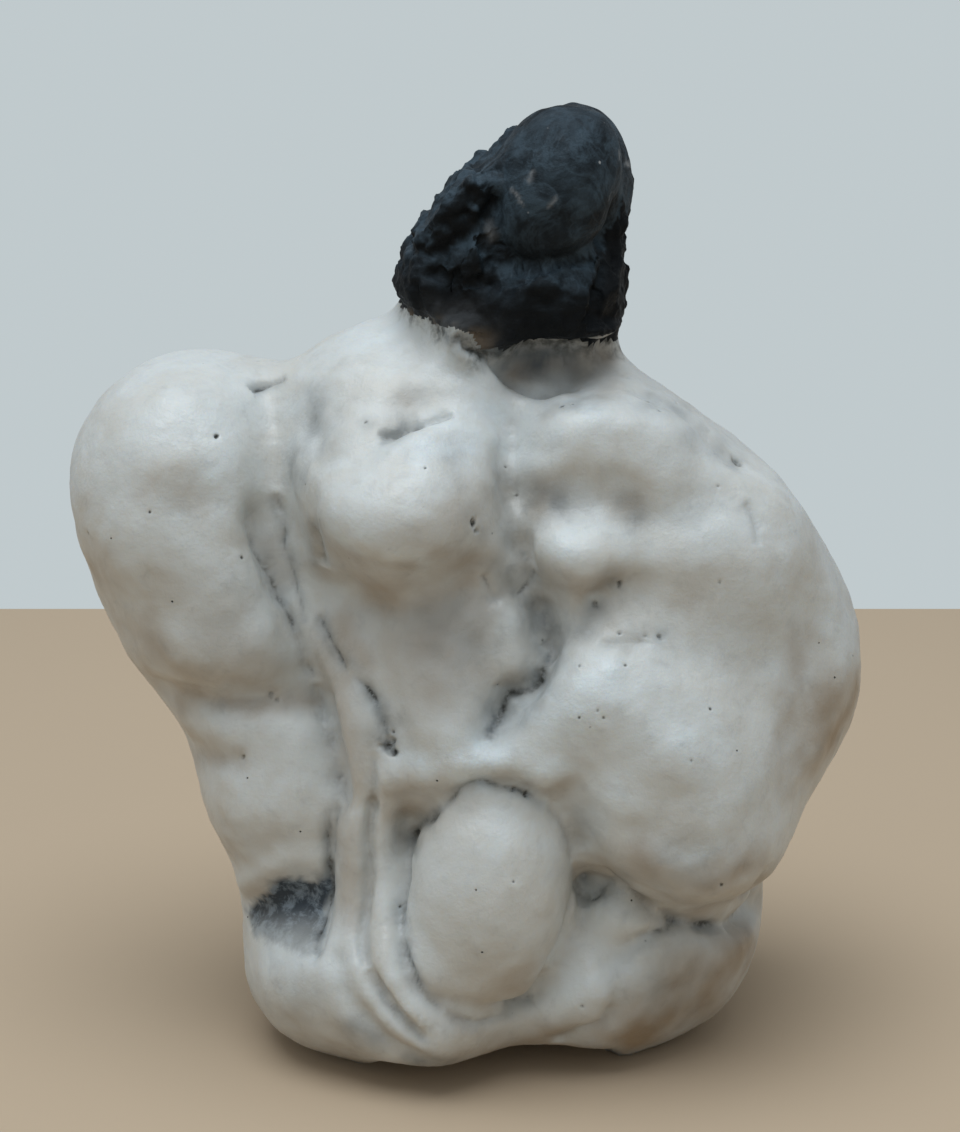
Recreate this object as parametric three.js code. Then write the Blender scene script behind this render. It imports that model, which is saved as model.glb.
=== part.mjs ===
// A viewing stone: one natural piece, in which a white nodule of botryoidal chalcedony carries a knob of
// dark host rock on its crown. Millimetres, +Z up, the face that is shown looks along -Y, and +X is to the
// right of someone who looks at that face. The origin is the centre of the small flat spot the stone rests on.
//
// The stone is described as an implicit surface: rounded lumps that melt into each other, furrows cut along
// curves, and blocks that break up the dark rock. Its zero surface is meshed on a grid that is finer where the
// pleats and the knob are, and the underside is levelled off where the stone rests.

import * as THREE from "three";

// Overall sizes that drive the rest.
const STONE_HEIGHT = 80;
const STONE_WIDTH = 70;
const STONE_DEPTH = 46;
const MARGIN = 4; // empty space kept round the stone inside the grid
const REST = 0.3; // what lies lower than this is levelled off at zero

// Spacing of the grid that the surface is meshed on.
const FINE = 1.5; // across the pleats, and up the knob
const PLAIN = 1.95;
const COARSE = 2.5; // the outer flanks and the back

// How softly neighbouring forms melt together: the radius of the fillet between them.
const SOFT = 6; // lumps of one mass
const FOLD = 5; // one mass against the next
const ROCK = 1.4; // the forms of the dark rock

// ---------------------------------------------------------------- building blocks of the implicit surface

const v3 = (x, y, z) => new THREE.Vector3(x, y, z);
const local = v3(0, 0, 0);

// Undoes a turn given in degrees about X, Y and Z.
function turnBack(turn) {
  const [x, y, z] = turn.map(THREE.MathUtils.degToRad);
  return new THREE.Matrix4().makeRotationFromEuler(new THREE.Euler(x, y, z)).transpose();
}

// An ellipsoid at a centre with three radii. Negative inside.
function lump(at, radii, turn = [0, 0, 0]) {
  const unturn = turnBack(turn);
  const [rx, ry, rz] = radii;
  return (p) => {
    local.set(p.x - at[0], p.y - at[1], p.z - at[2]).applyMatrix4(unturn);
    const near = Math.hypot(local.x / rx, local.y / ry, local.z / rz);
    const slope = Math.hypot(local.x / rx ** 2, local.y / ry ** 2, local.z / rz ** 2);
    return slope < 1e-9 ? -Math.min(rx, ry, rz) : (near * (near - 1)) / slope;
  };
}

// A box with rounded edges at a centre, with three half sizes to the flats.
function block(at, half, round, turn) {
  const unturn = turnBack(turn);
  return (p) => {
    local.set(p.x - at[0], p.y - at[1], p.z - at[2]).applyMatrix4(unturn);
    const [x, y, z] = local.toArray().map((t, n) => Math.abs(t) - half[n]);
    const outside = Math.hypot(Math.max(x, 0), Math.max(y, 0), Math.max(z, 0));
    return outside + Math.min(Math.max(x, y, z), 0) - round;
  };
}

// The nearer of two surfaces, with a fillet of radius k where they meet.
function melt(a, b, k) {
  const h = Math.max(k - Math.abs(a - b), 0) / k;
  return Math.min(a, b) - (h * h * k) / 4;
}

const meltAll = (fields, k) => (p) => fields.reduce((d, f) => melt(d, f(p), k), Infinity);

// A curve seen from the front (or the back), as a sampled polyline of x, z points.
function stroke(points) {
  const curve = new THREE.CatmullRomCurve3(points.map(([x, z]) => v3(x, 0, z)));
  return curve.getSpacedPoints(points.length * 6);
}

// Distance from p to a stroke, measured in the plane of the shown face.
function toStroke(p, line) {
  let best = Infinity;
  for (let i = 1; i < line.length; i++) {
    const a = line[i - 1];
    const b = line[i];
    const dx = b.x - a.x;
    const dz = b.z - a.z;
    const t = THREE.MathUtils.clamp(((p.x - a.x) * dx + (p.z - a.z) * dz) / (dx * dx + dz * dz), 0, 1);
    best = Math.min(best, Math.hypot(p.x - a.x - t * dx, p.z - a.z - t * dz));
  }
  return best;
}

// A furrow (depth above zero) or a welt (depth below zero) along a stroke, on the front or the back.
// It dies out towards the underside.
function furrow({ path, depth, width, side = "front" }) {
  const line = stroke(path);
  const sign = side === "front" ? -1 : 1;
  return (p) => {
    const facing = THREE.MathUtils.smoothstep(sign * p.y, -2, 5) * THREE.MathUtils.smoothstep(p.z, 2, 8);
    if (facing === 0) return 0;
    const t = toStroke(p, line) / width;
    return t > 2.5 ? 0 : facing * depth * Math.exp(-t * t);
  };
}

// A round hollow or, with a depth below zero, a round swelling.
function dimple({ at, radius, depth }) {
  return (p) => {
    const t = Math.hypot(p.x - at[0], p.y - at[1], p.z - at[2]) / radius;
    return t > 2.5 ? 0 : depth * Math.exp(-t * t);
  };
}

// Smooth noise from -1 to 1 whose waves are about one unit long, the same in every run.
function noise(x, y, z) {
  const hash = (i, j, k) => {
    const s = Math.sin(i * 127.1 + j * 311.7 + k * 74.7) * 43758.5453;
    return s - Math.floor(s);
  };
  const [i, j, k] = [x, y, z].map(Math.floor);
  const [u, v, w] = [x - i, y - j, z - k].map((t) => t * t * (3 - 2 * t));
  const mix = THREE.MathUtils.lerp;
  const edge = (b, c) => mix(hash(i, j + b, k + c), hash(i + 1, j + b, k + c), u);
  return 2 * mix(mix(edge(0, 0), edge(1, 0), v), mix(edge(0, 1), edge(1, 1), v), w) - 1;
}

// ---------------------------------------------------------------- the white nodule

const core = [
  lump([0.5, 3, 34], [22.5, 16, 23]),
  lump([1, 3, 13], [18, 15, 12]),
];

// The tall lobe down the left side, broad at the shoulder and narrow where it ends above the foot.
const leftLobe = [
  lump([-23.4, 2, 48], [10.8, 13, 10.9]),
  lump([-21.5, 1, 37.5], [9, 12, 11], [0, -16, 0]),
  lump([-17.4, 0, 21.6], [5.9, 11, 10], [0, -12, 0]),
];
const leftFoot = [lump([-12.5, -3, 7.2], [7.4, 11.5, 7.4])];

// The crown, the chest that swells out under it, and the column below the chest.
const crown = [
  lump([-5.5, 2, 52.5], [11.2, 13, 9.3]),
  lump([4, 3, 57], [8.5, 8, 4.6]),
];
const chest = [
  lump([-5, -8.8, 49], [8.8, 10, 5.8]),
  lump([-3.6, -4, 38], [8, 10.5, 10]),
];

// The folded skin between the left lobe and the ball, and the saddle over the ball.
const drapery = [
  lump([-8.8, -4, 22], [5.5, 12, 16]),
  lump([-6, -7, 9], [8.5, 13, 8.6]),
  lump([-2, -8, 8], [7, 11, 7.6]),
];
const saddle = [lump([0.5, -8.5, 30], [9.5, 9.5, 5.2])];

// The round ball low on the front.
const ball = [lump([1.6, -11.5, 17], [8, 9.5, 10.6])];

// The broad belly on the right, the flank that backs it, and the foot tucked under both.
const belly = [
  lump([16.2, -6, 27], [11, 14, 11.5]),
  lump([17, -7, 20.4], [8.8, 12, 7]),
  lump([10, -9, 34.5], [7.5, 10, 6]),
];
const flank = [
  lump([24.4, 2, 32], [9.6, 13, 12]),
  lump([17.6, 3, 15], [7.6, 12, 12]),
];
const rightFoot = [
  lump([12.6, 1, 8.8], [10.9, 12.5, 9.2]),
  lump([13.2, -2, 6.8], [10.2, 10.5, 6.6]),
  lump([9, -7, 8.6], [7.5, 9.5, 7.4]),
];

// The upper right mass: a brow over a hollow, a small swelling below the hollow, and the shoulder.
const upperRight = [
  lump([12.8, 3, 44.6], [12, 14, 10.6]),
  lump([10.5, -6, 54], [7.5, 7.5, 3.5], [0, 8, 0]),
  lump([8, -8.5, 45.4], [6, 8.8, 4.4]),
  lump([21, -4, 43], [8, 10, 7.4]),
];

// The swellings of the back.
const back = [
  lump([-20, 7, 46], [9, 10, 9]),
  lump([-6, 10, 44], [9.5, 10.5, 11]),
  lump([11, 11, 40], [11, 9.5, 10]),
  lump([22, 8, 30], [8, 9.5, 9]),
  lump([-12, 9, 27], [8, 9, 10]),
  lump([4, 12.5, 24], [11, 8.5, 10]),
  lump([-6, 9, 10], [9.5, 9.5, 8.6]),
  lump([10, 9, 10], [10, 9, 8.8]),
];

const masses = [core, leftLobe, leftFoot, crown, chest, drapery, saddle, belly, flank, upperRight, rightFoot];
const front = meltAll(masses.map((lumps) => meltAll(lumps, SOFT)), FOLD);
const behind = meltAll(back, FOLD / 2);
const body = (p) => melt(front(p), behind(p), FOLD);
const ballField = meltAll(ball, SOFT);

const furrows = [
  // between the left lobe and the chest, down to the foot
  {
    path: [
      [-16.3, 55.5], [-16, 51], [-15.6, 46], [-14.6, 42], [-13.2, 37], [-12, 32], [-11.4, 27], [-11.5, 21], [-12, 15],
    ],
    depth: 1.8,
    width: 1.8,
  },
  // the second fold, from the chest down to the pit beside the saddle
  { path: [[-12.2, 41], [-10.9, 37.5], [-9.3, 35.3], [-6.8, 31]], depth: 1.4, width: 1.3 },
  // the two pleats that sweep under the ball, and the crease round the ball
  { path: [[-8.2, 28], [-8.3, 21], [-8.8, 14], [-8, 9], [-5.6, 5.6]], depth: 1.6, width: 1.6 },
  { path: [[-6.9, 27], [-7.4, 20], [-7.4, 14], [-6, 9.6], [-3, 6.4]], depth: -0.9, width: 1.2 },
  {
    path: [[-5.4, 23.5], [-6.3, 17.5], [-5.5, 12], [-3, 8.4], [1.5, 6.6], [6, 8], [8.8, 12.4], [9.5, 17]],
    depth: 1.4,
    width: 1.6,
  },
  // the valley down the middle of the chest
  { path: [[3.6, 55], [3.4, 50], [4, 45], [6, 41], [5.6, 36.5], [2.4, 32.5]], depth: 2, width: 1.9 },
  // under the belly
  { path: [[9.5, 17.6], [11.6, 19], [14.6, 16.8], [18, 14.6], [23, 13.4]], depth: 1.6, width: 1.6 },
  // across the left lobe
  { path: [[-25, 31.5], [-20, 32.4], [-14, 32.6]], depth: 0.7, width: 1.8 },
  // the joints between the swellings of the back
  { path: [[-14, 55], [-12, 46], [-14, 36], [-17, 30]], depth: 1.3, width: 2.4, side: "back" },
  { path: [[2, 54], [2.5, 45], [0, 35], [-4, 27], [-3, 16], [2, 6]], depth: 1.5, width: 2.4, side: "back" },
  { path: [[0, 34], [8, 31], [16, 33], [21, 39]], depth: 1.2, width: 2.2, side: "back" },
].map(furrow);

const hollows = [
  { at: [8.8, -15, 50.2], radius: 3.4, depth: 2 }, // under the brow
  { at: [4.8, -16.5, 43.4], radius: 2.4, depth: 2 }, // where the valley turns
  { at: [-6.6, -17, 30.6], radius: 2, depth: 1.8 }, // beside the saddle
  { at: [6.5, -9, 60], radius: 3.4, depth: 1.6 }, // the recess under the dark knob
  { at: [-4.6, -13.5, 56.2], radius: 1.8, depth: 1 }, // the slot on top of the chest
  { at: [-15.6, -13, 14.6], radius: 4, depth: 1.4 }, // the bare patch above the left foot
  { at: [22.2, -4, 51], radius: 1.8, depth: 1 }, // on the shoulder
].map(dimple);

const carve = (marks) => (p) => marks.reduce((sum, mark) => sum + mark(p), 0);
const noduleMarks = carve([...furrows, ...hollows]);

function whiteStone(p) {
  const swell = 0.25 * noise(p.x / 5.5, p.y / 5.5, p.z / 5.5);
  return melt(body(p), ballField(p), 1.6) + noduleMarks(p) + swell;
}

// ---------------------------------------------------------------- the knob of dark rock

const dome = meltAll(
  [lump([7.4, -2.6, 72.4], [6.1, 7, 7.5], [0, 12, 0]), lump([7.6, 2, 70.4], [5.8, 6, 7.2], [14, 0, 0])],
  ROCK,
);
const blocks = [
  block([9.9, 1.2, 69], [1, 2.6, 5], 2.4, [4, 5, 0]), // the slab behind the right edge of the dome
  block([2, 0.5, 71.4], [3.8, 3.8, 1.2], 1.8, [0, -46, 0]), // ledges down the left side
  block([-1.2, -2.2, 68.6], [1.6, 3.4, 1.6], 1.2, [10, -34, 10]),
  block([-2.6, -0.6, 65.2], [1.6, 4, 2.4], 1, [0, 14, 12]),
  block([0.6, -4, 65.8], [1.4, 3, 1.2], 0.8, [0, -30, -10]),
  block([3, -2.8, 63.4], [4.6, 4.4, 1.8], 1, [6, -4, 6]), // the band under the dome
  block([8, -2.2, 63.8], [3.2, 4.2, 2], 1, [6, -8, -10]),
  block([10, 0.8, 63.2], [1.5, 4.2, 1.9], 0.9, [0, 12, 0]),
];
const ledges = meltAll(blocks, ROCK);

function darkRock(p) {
  const broken = 0.45 * noise(p.x / 3, p.y / 3, p.z / 2.4);
  return melt(dome(p), ledges(p) + broken, ROCK / 2);
}

const stone = (p) => melt(whiteStone(p), darkRock(p), ROCK);

// ---------------------------------------------------------------- meshing

// Grid lines along one axis: each stop gives a place and the spacing from there to the next stop.
function ruler(stops) {
  const lines = [];
  for (let n = 0; n + 1 < stops.length; n++) {
    const [from, spacing] = stops[n];
    const [to] = stops[n + 1];
    const count = Math.round((to - from) / spacing);
    for (let i = 0; i < count; i++) lines.push(THREE.MathUtils.lerp(from, to, i / count));
  }
  return [...lines, stops.at(-1)[0]];
}

// Fills gaps thinner than a cell: wherever only the two diagonal corners of a grid square are inside, a third
// corner is put inside too. That leaves a surface that never touches itself along an edge.
function fillThinGaps(values, [nx, ny, nz]) {
  const step = [1, nx, nx * ny];
  let filled = 0;
  for (let here = 0; here < values.length - step[0] - step[1] - step[2]; here++)
    for (const [u, w] of [[0, 1], [1, 2], [2, 0]]) {
      const square = [here, here + step[u], here + step[u] + step[w], here + step[w]];
      const inside = square.map((n) => values[n] < 0);
      if (inside[0] !== inside[2] || inside[1] !== inside[3] || inside[0] === inside[1]) continue;
      const [a, b] = square.filter((n) => values[n] >= 0);
      values[values[a] < values[b] ? a : b] = -0.05;
      filled++;
    }
  return filled ? fillThinGaps(values, [nx, ny, nz]) : values;
}

// Meshes the zero surface of a field over a grid, as points and the quads between them.
function meshField(field, xs, ys, zs) {
  const [nx, ny, nz] = [xs.length, ys.length, zs.length];
  const index = (i, j, k) => i + nx * (j + ny * k);
  const values = new Float64Array(nx * ny * nz);
  const p = v3(0, 0, 0);
  for (let k = 0; k < nz; k++)
    for (let j = 0; j < ny; j++)
      for (let i = 0; i < nx; i++) values[index(i, j, k)] = field(p.set(xs[i], ys[j], zs[k]));
  fillThinGaps(values, [nx, ny, nz]);

  // One vertex in each cell that the surface crosses, at the mean of the crossings on its edges.
  const vertexOf = new Map();
  const points = [];
  const corners = [0, 1, 2, 3, 4, 5, 6, 7].map((c) => [c & 1, (c >> 1) & 1, (c >> 2) & 1]);
  const edges = [];
  for (let a = 0; a < 8; a++) for (const bit of [1, 2, 4]) if (!(a & bit)) edges.push([a, a | bit]);
  for (let k = 0; k < nz - 1; k++)
    for (let j = 0; j < ny - 1; j++)
      for (let i = 0; i < nx - 1; i++) {
        const value = corners.map(([a, b, c]) => values[index(i + a, j + b, k + c)]);
        const sum = v3(0, 0, 0);
        let crossings = 0;
        for (const [a, b] of edges) {
          if (value[a] < 0 === value[b] < 0) continue;
          const t = value[a] / (value[a] - value[b]);
          const at = ([u, v, w]) => v3(xs[i + u], ys[j + v], zs[k + w]);
          sum.add(at(corners[a]).lerp(at(corners[b]), t));
          crossings++;
        }
        if (!crossings) continue;
        vertexOf.set(index(i, j, k), points.length);
        points.push(sum.divideScalar(crossings));
      }

  // One quad round each grid edge that the surface crosses.
  const quads = [];
  const step = [1, nx, nx * ny];
  for (let k = 1; k < nz - 1; k++)
    for (let j = 1; j < ny - 1; j++)
      for (let i = 1; i < nx - 1; i++) {
        const here = index(i, j, k);
        for (let axis = 0; axis < 3; axis++) {
          const inside = values[here] < 0;
          if (inside === values[here + step[axis]] < 0) continue;
          const u = step[(axis + 1) % 3];
          const w = step[(axis + 2) % 3];
          const quad = [here - u - w, here - w, here, here - u].map((cellIndex) => vertexOf.get(cellIndex));
          quads.push(inside ? quad : quad.reverse());
        }
      }
  return { points, quads };
}

// Evens out the vertices over the surface: each round draws them towards their neighbours and sets them back on
// the surface, and the last one leaves them there, which smooths creases that are narrower than a cell.
function relax(points, quads, field, rounds) {
  const around = points.map(() => new Set());
  for (const quad of quads)
    quad.forEach((a, n) => {
      around[a].add(quad[(n + 1) % 4]);
      around[quad[(n + 1) % 4]].add(a);
    });
  const reach = 0.01;
  const ahead = v3(0, 0, 0);
  const slope = (p) => {
    const along = (axis) => {
      const up = field(ahead.copy(p).setComponent(axis, p.getComponent(axis) + reach));
      const down = field(ahead.copy(p).setComponent(axis, p.getComponent(axis) - reach));
      return (up - down) / (2 * reach);
    };
    return v3(along(0), along(1), along(2));
  };
  const settle = (p) => {
    for (let n = 0; n < 2; n++) {
      const g = slope(p);
      const far = THREE.MathUtils.clamp(field(p), -0.6, 0.6);
      p.addScaledVector(g, -far / Math.max(g.lengthSq(), 0.25));
    }
  };
  const evenOut = () => {
    const moved = points.map((p, n) => {
      const mean = v3(0, 0, 0);
      around[n].forEach((m) => mean.add(points[m]));
      return mean.divideScalar(around[n].size).lerp(p, 0.5);
    });
    moved.forEach((p, n) => points[n].copy(p));
  };
  for (let round = 0; round < rounds; round++) {
    points.forEach(settle);
    evenOut();
  }
}

// Two triangles from each quad, split along its shorter diagonal.
function toGeometry(points, quads) {
  const triangles = quads.flatMap(([a, b, c, d]) =>
    points[a].distanceToSquared(points[c]) < points[b].distanceToSquared(points[d])
      ? [a, b, c, a, c, d]
      : [b, c, d, b, d, a],
  );
  const geometry = new THREE.BufferGeometry().setFromPoints(points);
  geometry.setIndex(triangles);
  return geometry;
}

// ---------------------------------------------------------------- the solid

const halfWidth = STONE_WIDTH / 2 + MARGIN;
const halfDepth = STONE_DEPTH / 2 + MARGIN;
const acrossWidth = ruler([[-halfWidth, COARSE], [-14, FINE], [15, COARSE], [halfWidth]]);
const acrossDepth = ruler([[-halfDepth, PLAIN], [6, COARSE], [halfDepth]]);
const upHeight = ruler([[-MARGIN, PLAIN], [58, FINE], [STONE_HEIGHT + MARGIN]]);

const { points, quads } = meshField(stone, acrossWidth, acrossDepth, upHeight);
relax(points, quads, stone, 3);
points.filter((p) => p.z < REST).forEach((p) => p.setZ(0));

const stoneMesh = new THREE.Mesh(
  toGeometry(points, quads),
  new THREE.MeshStandardMaterial({ color: 0xd6d6d0, roughness: 0.38, metalness: 0 }),
);
stoneMesh.name = "stone";

const viewingStone = new THREE.Group();
viewingStone.add(stoneMesh);

export default viewingStone;
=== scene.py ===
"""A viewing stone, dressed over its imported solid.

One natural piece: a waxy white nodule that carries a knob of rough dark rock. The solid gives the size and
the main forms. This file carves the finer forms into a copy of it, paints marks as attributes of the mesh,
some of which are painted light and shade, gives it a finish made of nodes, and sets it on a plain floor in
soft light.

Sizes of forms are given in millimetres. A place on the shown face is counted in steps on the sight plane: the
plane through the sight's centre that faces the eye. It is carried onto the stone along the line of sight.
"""
import math

import bpy
import numpy as np
from bpy.props import FloatProperty, FloatVectorProperty
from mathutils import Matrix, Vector
from mathutils.bvhtree import BVHTree


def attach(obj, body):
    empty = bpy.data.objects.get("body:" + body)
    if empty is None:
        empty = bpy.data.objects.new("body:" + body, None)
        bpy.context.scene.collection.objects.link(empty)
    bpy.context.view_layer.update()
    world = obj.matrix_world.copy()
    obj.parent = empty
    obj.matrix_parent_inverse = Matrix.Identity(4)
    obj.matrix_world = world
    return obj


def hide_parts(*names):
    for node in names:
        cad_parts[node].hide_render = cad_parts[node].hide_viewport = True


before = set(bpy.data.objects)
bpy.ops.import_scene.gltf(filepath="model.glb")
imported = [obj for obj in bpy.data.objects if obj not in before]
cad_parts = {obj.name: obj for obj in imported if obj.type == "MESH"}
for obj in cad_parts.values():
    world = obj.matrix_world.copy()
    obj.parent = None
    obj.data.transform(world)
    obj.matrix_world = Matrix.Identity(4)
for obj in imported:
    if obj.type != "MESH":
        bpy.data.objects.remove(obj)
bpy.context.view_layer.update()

bl_info = {
    "name": "Viewing Stone",
    "version": (1, 0, 0),
    "blender": (4, 5, 0),
    "location": "3D View > Sidebar > Viewing Stone",
    "description": "Carves and finishes a white viewing stone with a knob of dark rock",
    "category": "Object",
}

MM = 0.001  # one millimetre in scene units

# The sight: where the eye is and what it looks at, in millimetres and degrees.
SIGHT_CENTRE = np.array([0.8, 0.0, 40.8])
SIGHT_HEIGHT_ANGLE = 15.0
SIGHT_DISTANCE = 235.0
SIGHT_LENS = 87.8
SIGHT_SENSOR = 36

# Places on the sight plane are counted in steps, from left to right and from the top down.
STEPS_PER_MM = 11.745
MIDDLE_STEP = np.array([480, 566])  # the place that the centre of the sight falls on

# ---------------------------------------------------------------- forms of the white nodule

# Sizes in these tables are in millimetres, and places are in steps on the sight plane.
# Soft rolls and valleys: name, rise (below zero for a valley), width, and the route.
FOLDS = (
    ("valley beside the left lobe", -1.2, 1.8, (
        (262, 520), (273, 565), (285, 605), (298, 645), (309, 685), (321, 725), (333, 765), (338, 790),
    )),
    ("first pleat", 0.35, 1.1, (
        (300, 600), (322, 655), (342, 705), (352, 755), (352, 800), (351, 850), (352, 900), (355, 950),
        (366, 990), (388, 1022), (415, 1042), (445, 1052),
    )),
    ("second pleat", 0.4, 1.0, (
        (387, 780), (387, 830), (385, 880), (382, 920), (385, 955), (397, 985), (417, 1010), (446, 1030),
        (480, 1042),
    )),
    ("between the pleats", -0.4, 0.6, (
        (373, 762), (371, 800), (369, 850), (366, 900), (363, 935), (368, 968), (380, 992), (398, 1015),
        (424, 1038),
    )),
    ("second pleat and ball", -0.55, 0.7, (
        (406, 838), (402, 870), (399, 905), (399, 940), (404, 968), (420, 995), (442, 1013), (468, 1024),
    )),
    ("first pleat and patch", -0.6, 0.6, ((331, 812), (331, 860), (330, 890), (325, 925), (316, 955))),
    ("first pleat and left foot", -0.7, 0.7, (
        (338, 960), (346, 990), (360, 1012), (382, 1035), (410, 1052),
    )),
    ("left lobe, first hollow", -0.8, 1.4, ((160, 690), (200, 698), (245, 700), (290, 702), (318, 708))),
    ("left lobe, upper roll", 0.25, 2.2, ((160, 652), (205, 658), (250, 660), (288, 665))),
    ("left lobe, second hollow", -0.4, 1.1, ((178, 748), (205, 755), (240, 762))),
    ("left lobe, middle roll", 0.25, 1.6, ((185, 722), (215, 727), (255, 730), (300, 732))),
    ("left lobe, faint hollow", -0.2, 2.0, ((110, 500), (150, 505), (200, 505), (240, 500))),
    ("left lobe, faint roll", 0.2, 2.5, ((120, 560), (180, 562), (225, 580))),
    ("left lobe, end", 0.35, 2.9, ((235, 810), (270, 815), (305, 825))),
    ("edge of the chest", -0.4, 1.1, ((312, 500), (314, 530), (322, 560), (340, 580))),
    ("under the chest", -0.7, 1.7, ((330, 592), (370, 604), (410, 604), (445, 592), (470, 578))),
    ("front of the chest", 0.4, 1.6, ((345, 520), (375, 545), (405, 556), (432, 548))),
    ("crown and chest", -0.4, 1.1, ((305, 430), (325, 455), (350, 456), (385, 440))),
    ("over the slot", -0.2, 1.3, ((400, 412), (418, 402), (436, 400))),
    ("lip under the slot", 0.55, 1.2, ((395, 452), (425, 437), (460, 428), (490, 440))),
    ("right of the chest", -0.4, 1.1, ((498, 450), (505, 480), (515, 510), (520, 545))),
    ("left of the column", -0.5, 1.6, ((345, 612), (370, 642), (386, 682), (396, 722))),
    ("column", 0.35, 2.2, ((440, 620), (445, 660), (445, 700), (440, 735))),
    ("mound by the valley", 0.6, 1.7, ((514, 622), (518, 645), (512, 660))),
    ("shelf by the valley", -0.4, 1.1, ((470, 600), (492, 600), (512, 596))),
    ("main valley", -0.8, 1.2, (
        (522, 545), (525, 590), (538, 615), (546, 645), (541, 675), (525, 690), (506, 694), (497, 715),
        (487, 738),
    )),
    ("valley's arm", -0.35, 1.0, ((546, 645), (565, 635), (590, 625), (599, 605))),
    ("over the saddle", -0.45, 1.2, ((487, 738), (460, 748), (430, 753), (400, 753))),
    ("brow", 0.4, 2.5, ((515, 440), (545, 425), (590, 415), (640, 420), (675, 440))),
    ("lip of the brow", 0.4, 1.2, ((520, 470), (550, 468), (575, 460), (610, 460), (640, 470), (660, 490))),
    ("left hollow of the brow", -0.55, 1.8, ((525, 500), (550, 508), (572, 508))),
    ("right hollow of the brow", -0.35, 1.9, ((602, 503), (622, 513), (642, 515))),
    ("rib of the brow", 0.15, 1.1, ((588, 480), (588, 522))),
    ("swelling under the brow", 0.3, 2.0, ((535, 552), (565, 546), (598, 556))),
    ("hollow of the pits", -0.5, 1.3, ((598, 602), (615, 590), (640, 586))),
    ("groove of the neck", -0.4, 1.1, ((640, 392), (670, 405), (695, 425), (720, 450), (740, 465))),
    ("shoulder", 0.35, 1.8, ((660, 470), (700, 470), (740, 485), (775, 500))),
    ("arc of the belly", -0.2, 1.1, ((628, 650), (622, 700), (622, 735), (630, 770), (645, 800))),
    ("white belly", 0.25, 2.7, ((548, 720), (580, 690), (610, 680))),
    ("belly, rib", 0.2, 1.7, ((775, 690), (765, 750), (745, 800), (725, 830))),
    ("belly, hollow", -0.25, 1.6, ((702, 800), (672, 812), (650, 832))),
    ("lower roll of the belly", 0.35, 1.9, ((618, 848), (660, 872), (700, 886), (745, 880), (768, 850))),
    ("over the lower roll", -0.25, 1.3, ((640, 832), (680, 844), (720, 842), (750, 820))),
    ("under the belly", -1.1, 0.9, (
        (600, 883), (614, 891), (630, 902), (660, 916), (700, 927), (740, 922), (765, 897),
    )),
    ("belly and ball", -0.25, 1.6, ((572, 760), (576, 800), (581, 836))),
    ("flank, valley", -0.35, 2.2, ((800, 590), (803, 650), (797, 700), (788, 750), (775, 810), (768, 860))),
    ("flank, roll", 0.4, 1.8, ((832, 600), (842, 660), (836, 700), (815, 750))),
    ("ball", 0.3, 4.5, ((488, 860), (488, 910))),
    ("over the ball", -0.35, 0.8, (
        (408, 842), (420, 820), (438, 803), (460, 787), (484, 779), (513, 783), (542, 796), (566, 819),
        (577, 843),
    )),
    ("right of the ball", -0.7, 0.8, (
        (582, 902), (579, 923), (570, 945), (556, 970), (538, 992), (515, 1006),
    )),
    ("under the ball", -0.7, 0.6, ((440, 1000), (465, 1008), (490, 1008), (512, 1002))),
    ("roll under the ball", 0.25, 0.9, ((450, 1025), (480, 1025), (510, 1020))),
    ("small mound of the foot", 0.5, 1.6, ((578, 907), (600, 906), (625, 916))),
    ("valley of the foot", -0.55, 1.0, (
        (650, 936), (630, 950), (612, 975), (618, 1005), (600, 1028), (560, 1042),
    )),
    ("white mound", 0.6, 1.7, ((545, 1005), (575, 995), (600, 985))),
    ("right foot", 0.35, 2.2, ((660, 960), (700, 966), (735, 950))),
    ("saddle", 0.45, 1.3, ((425, 776), (460, 768), (500, 765), (545, 765))),
    ("recess of the patch", -0.8, 1.2, ((255, 907), (280, 905), (305, 897), (318, 920))),
    ("lip over the patch", 0.6, 1.1, ((245, 885), (270, 871), (300, 858), (322, 860))),
    ("left foot", 0.5, 2.2, ((270, 975), (300, 982), (330, 978))),
    ("valley at the left lobe's top", -0.35, 2.0, ((275, 402), (268, 440), (263, 485), (262, 520))),
)
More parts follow.
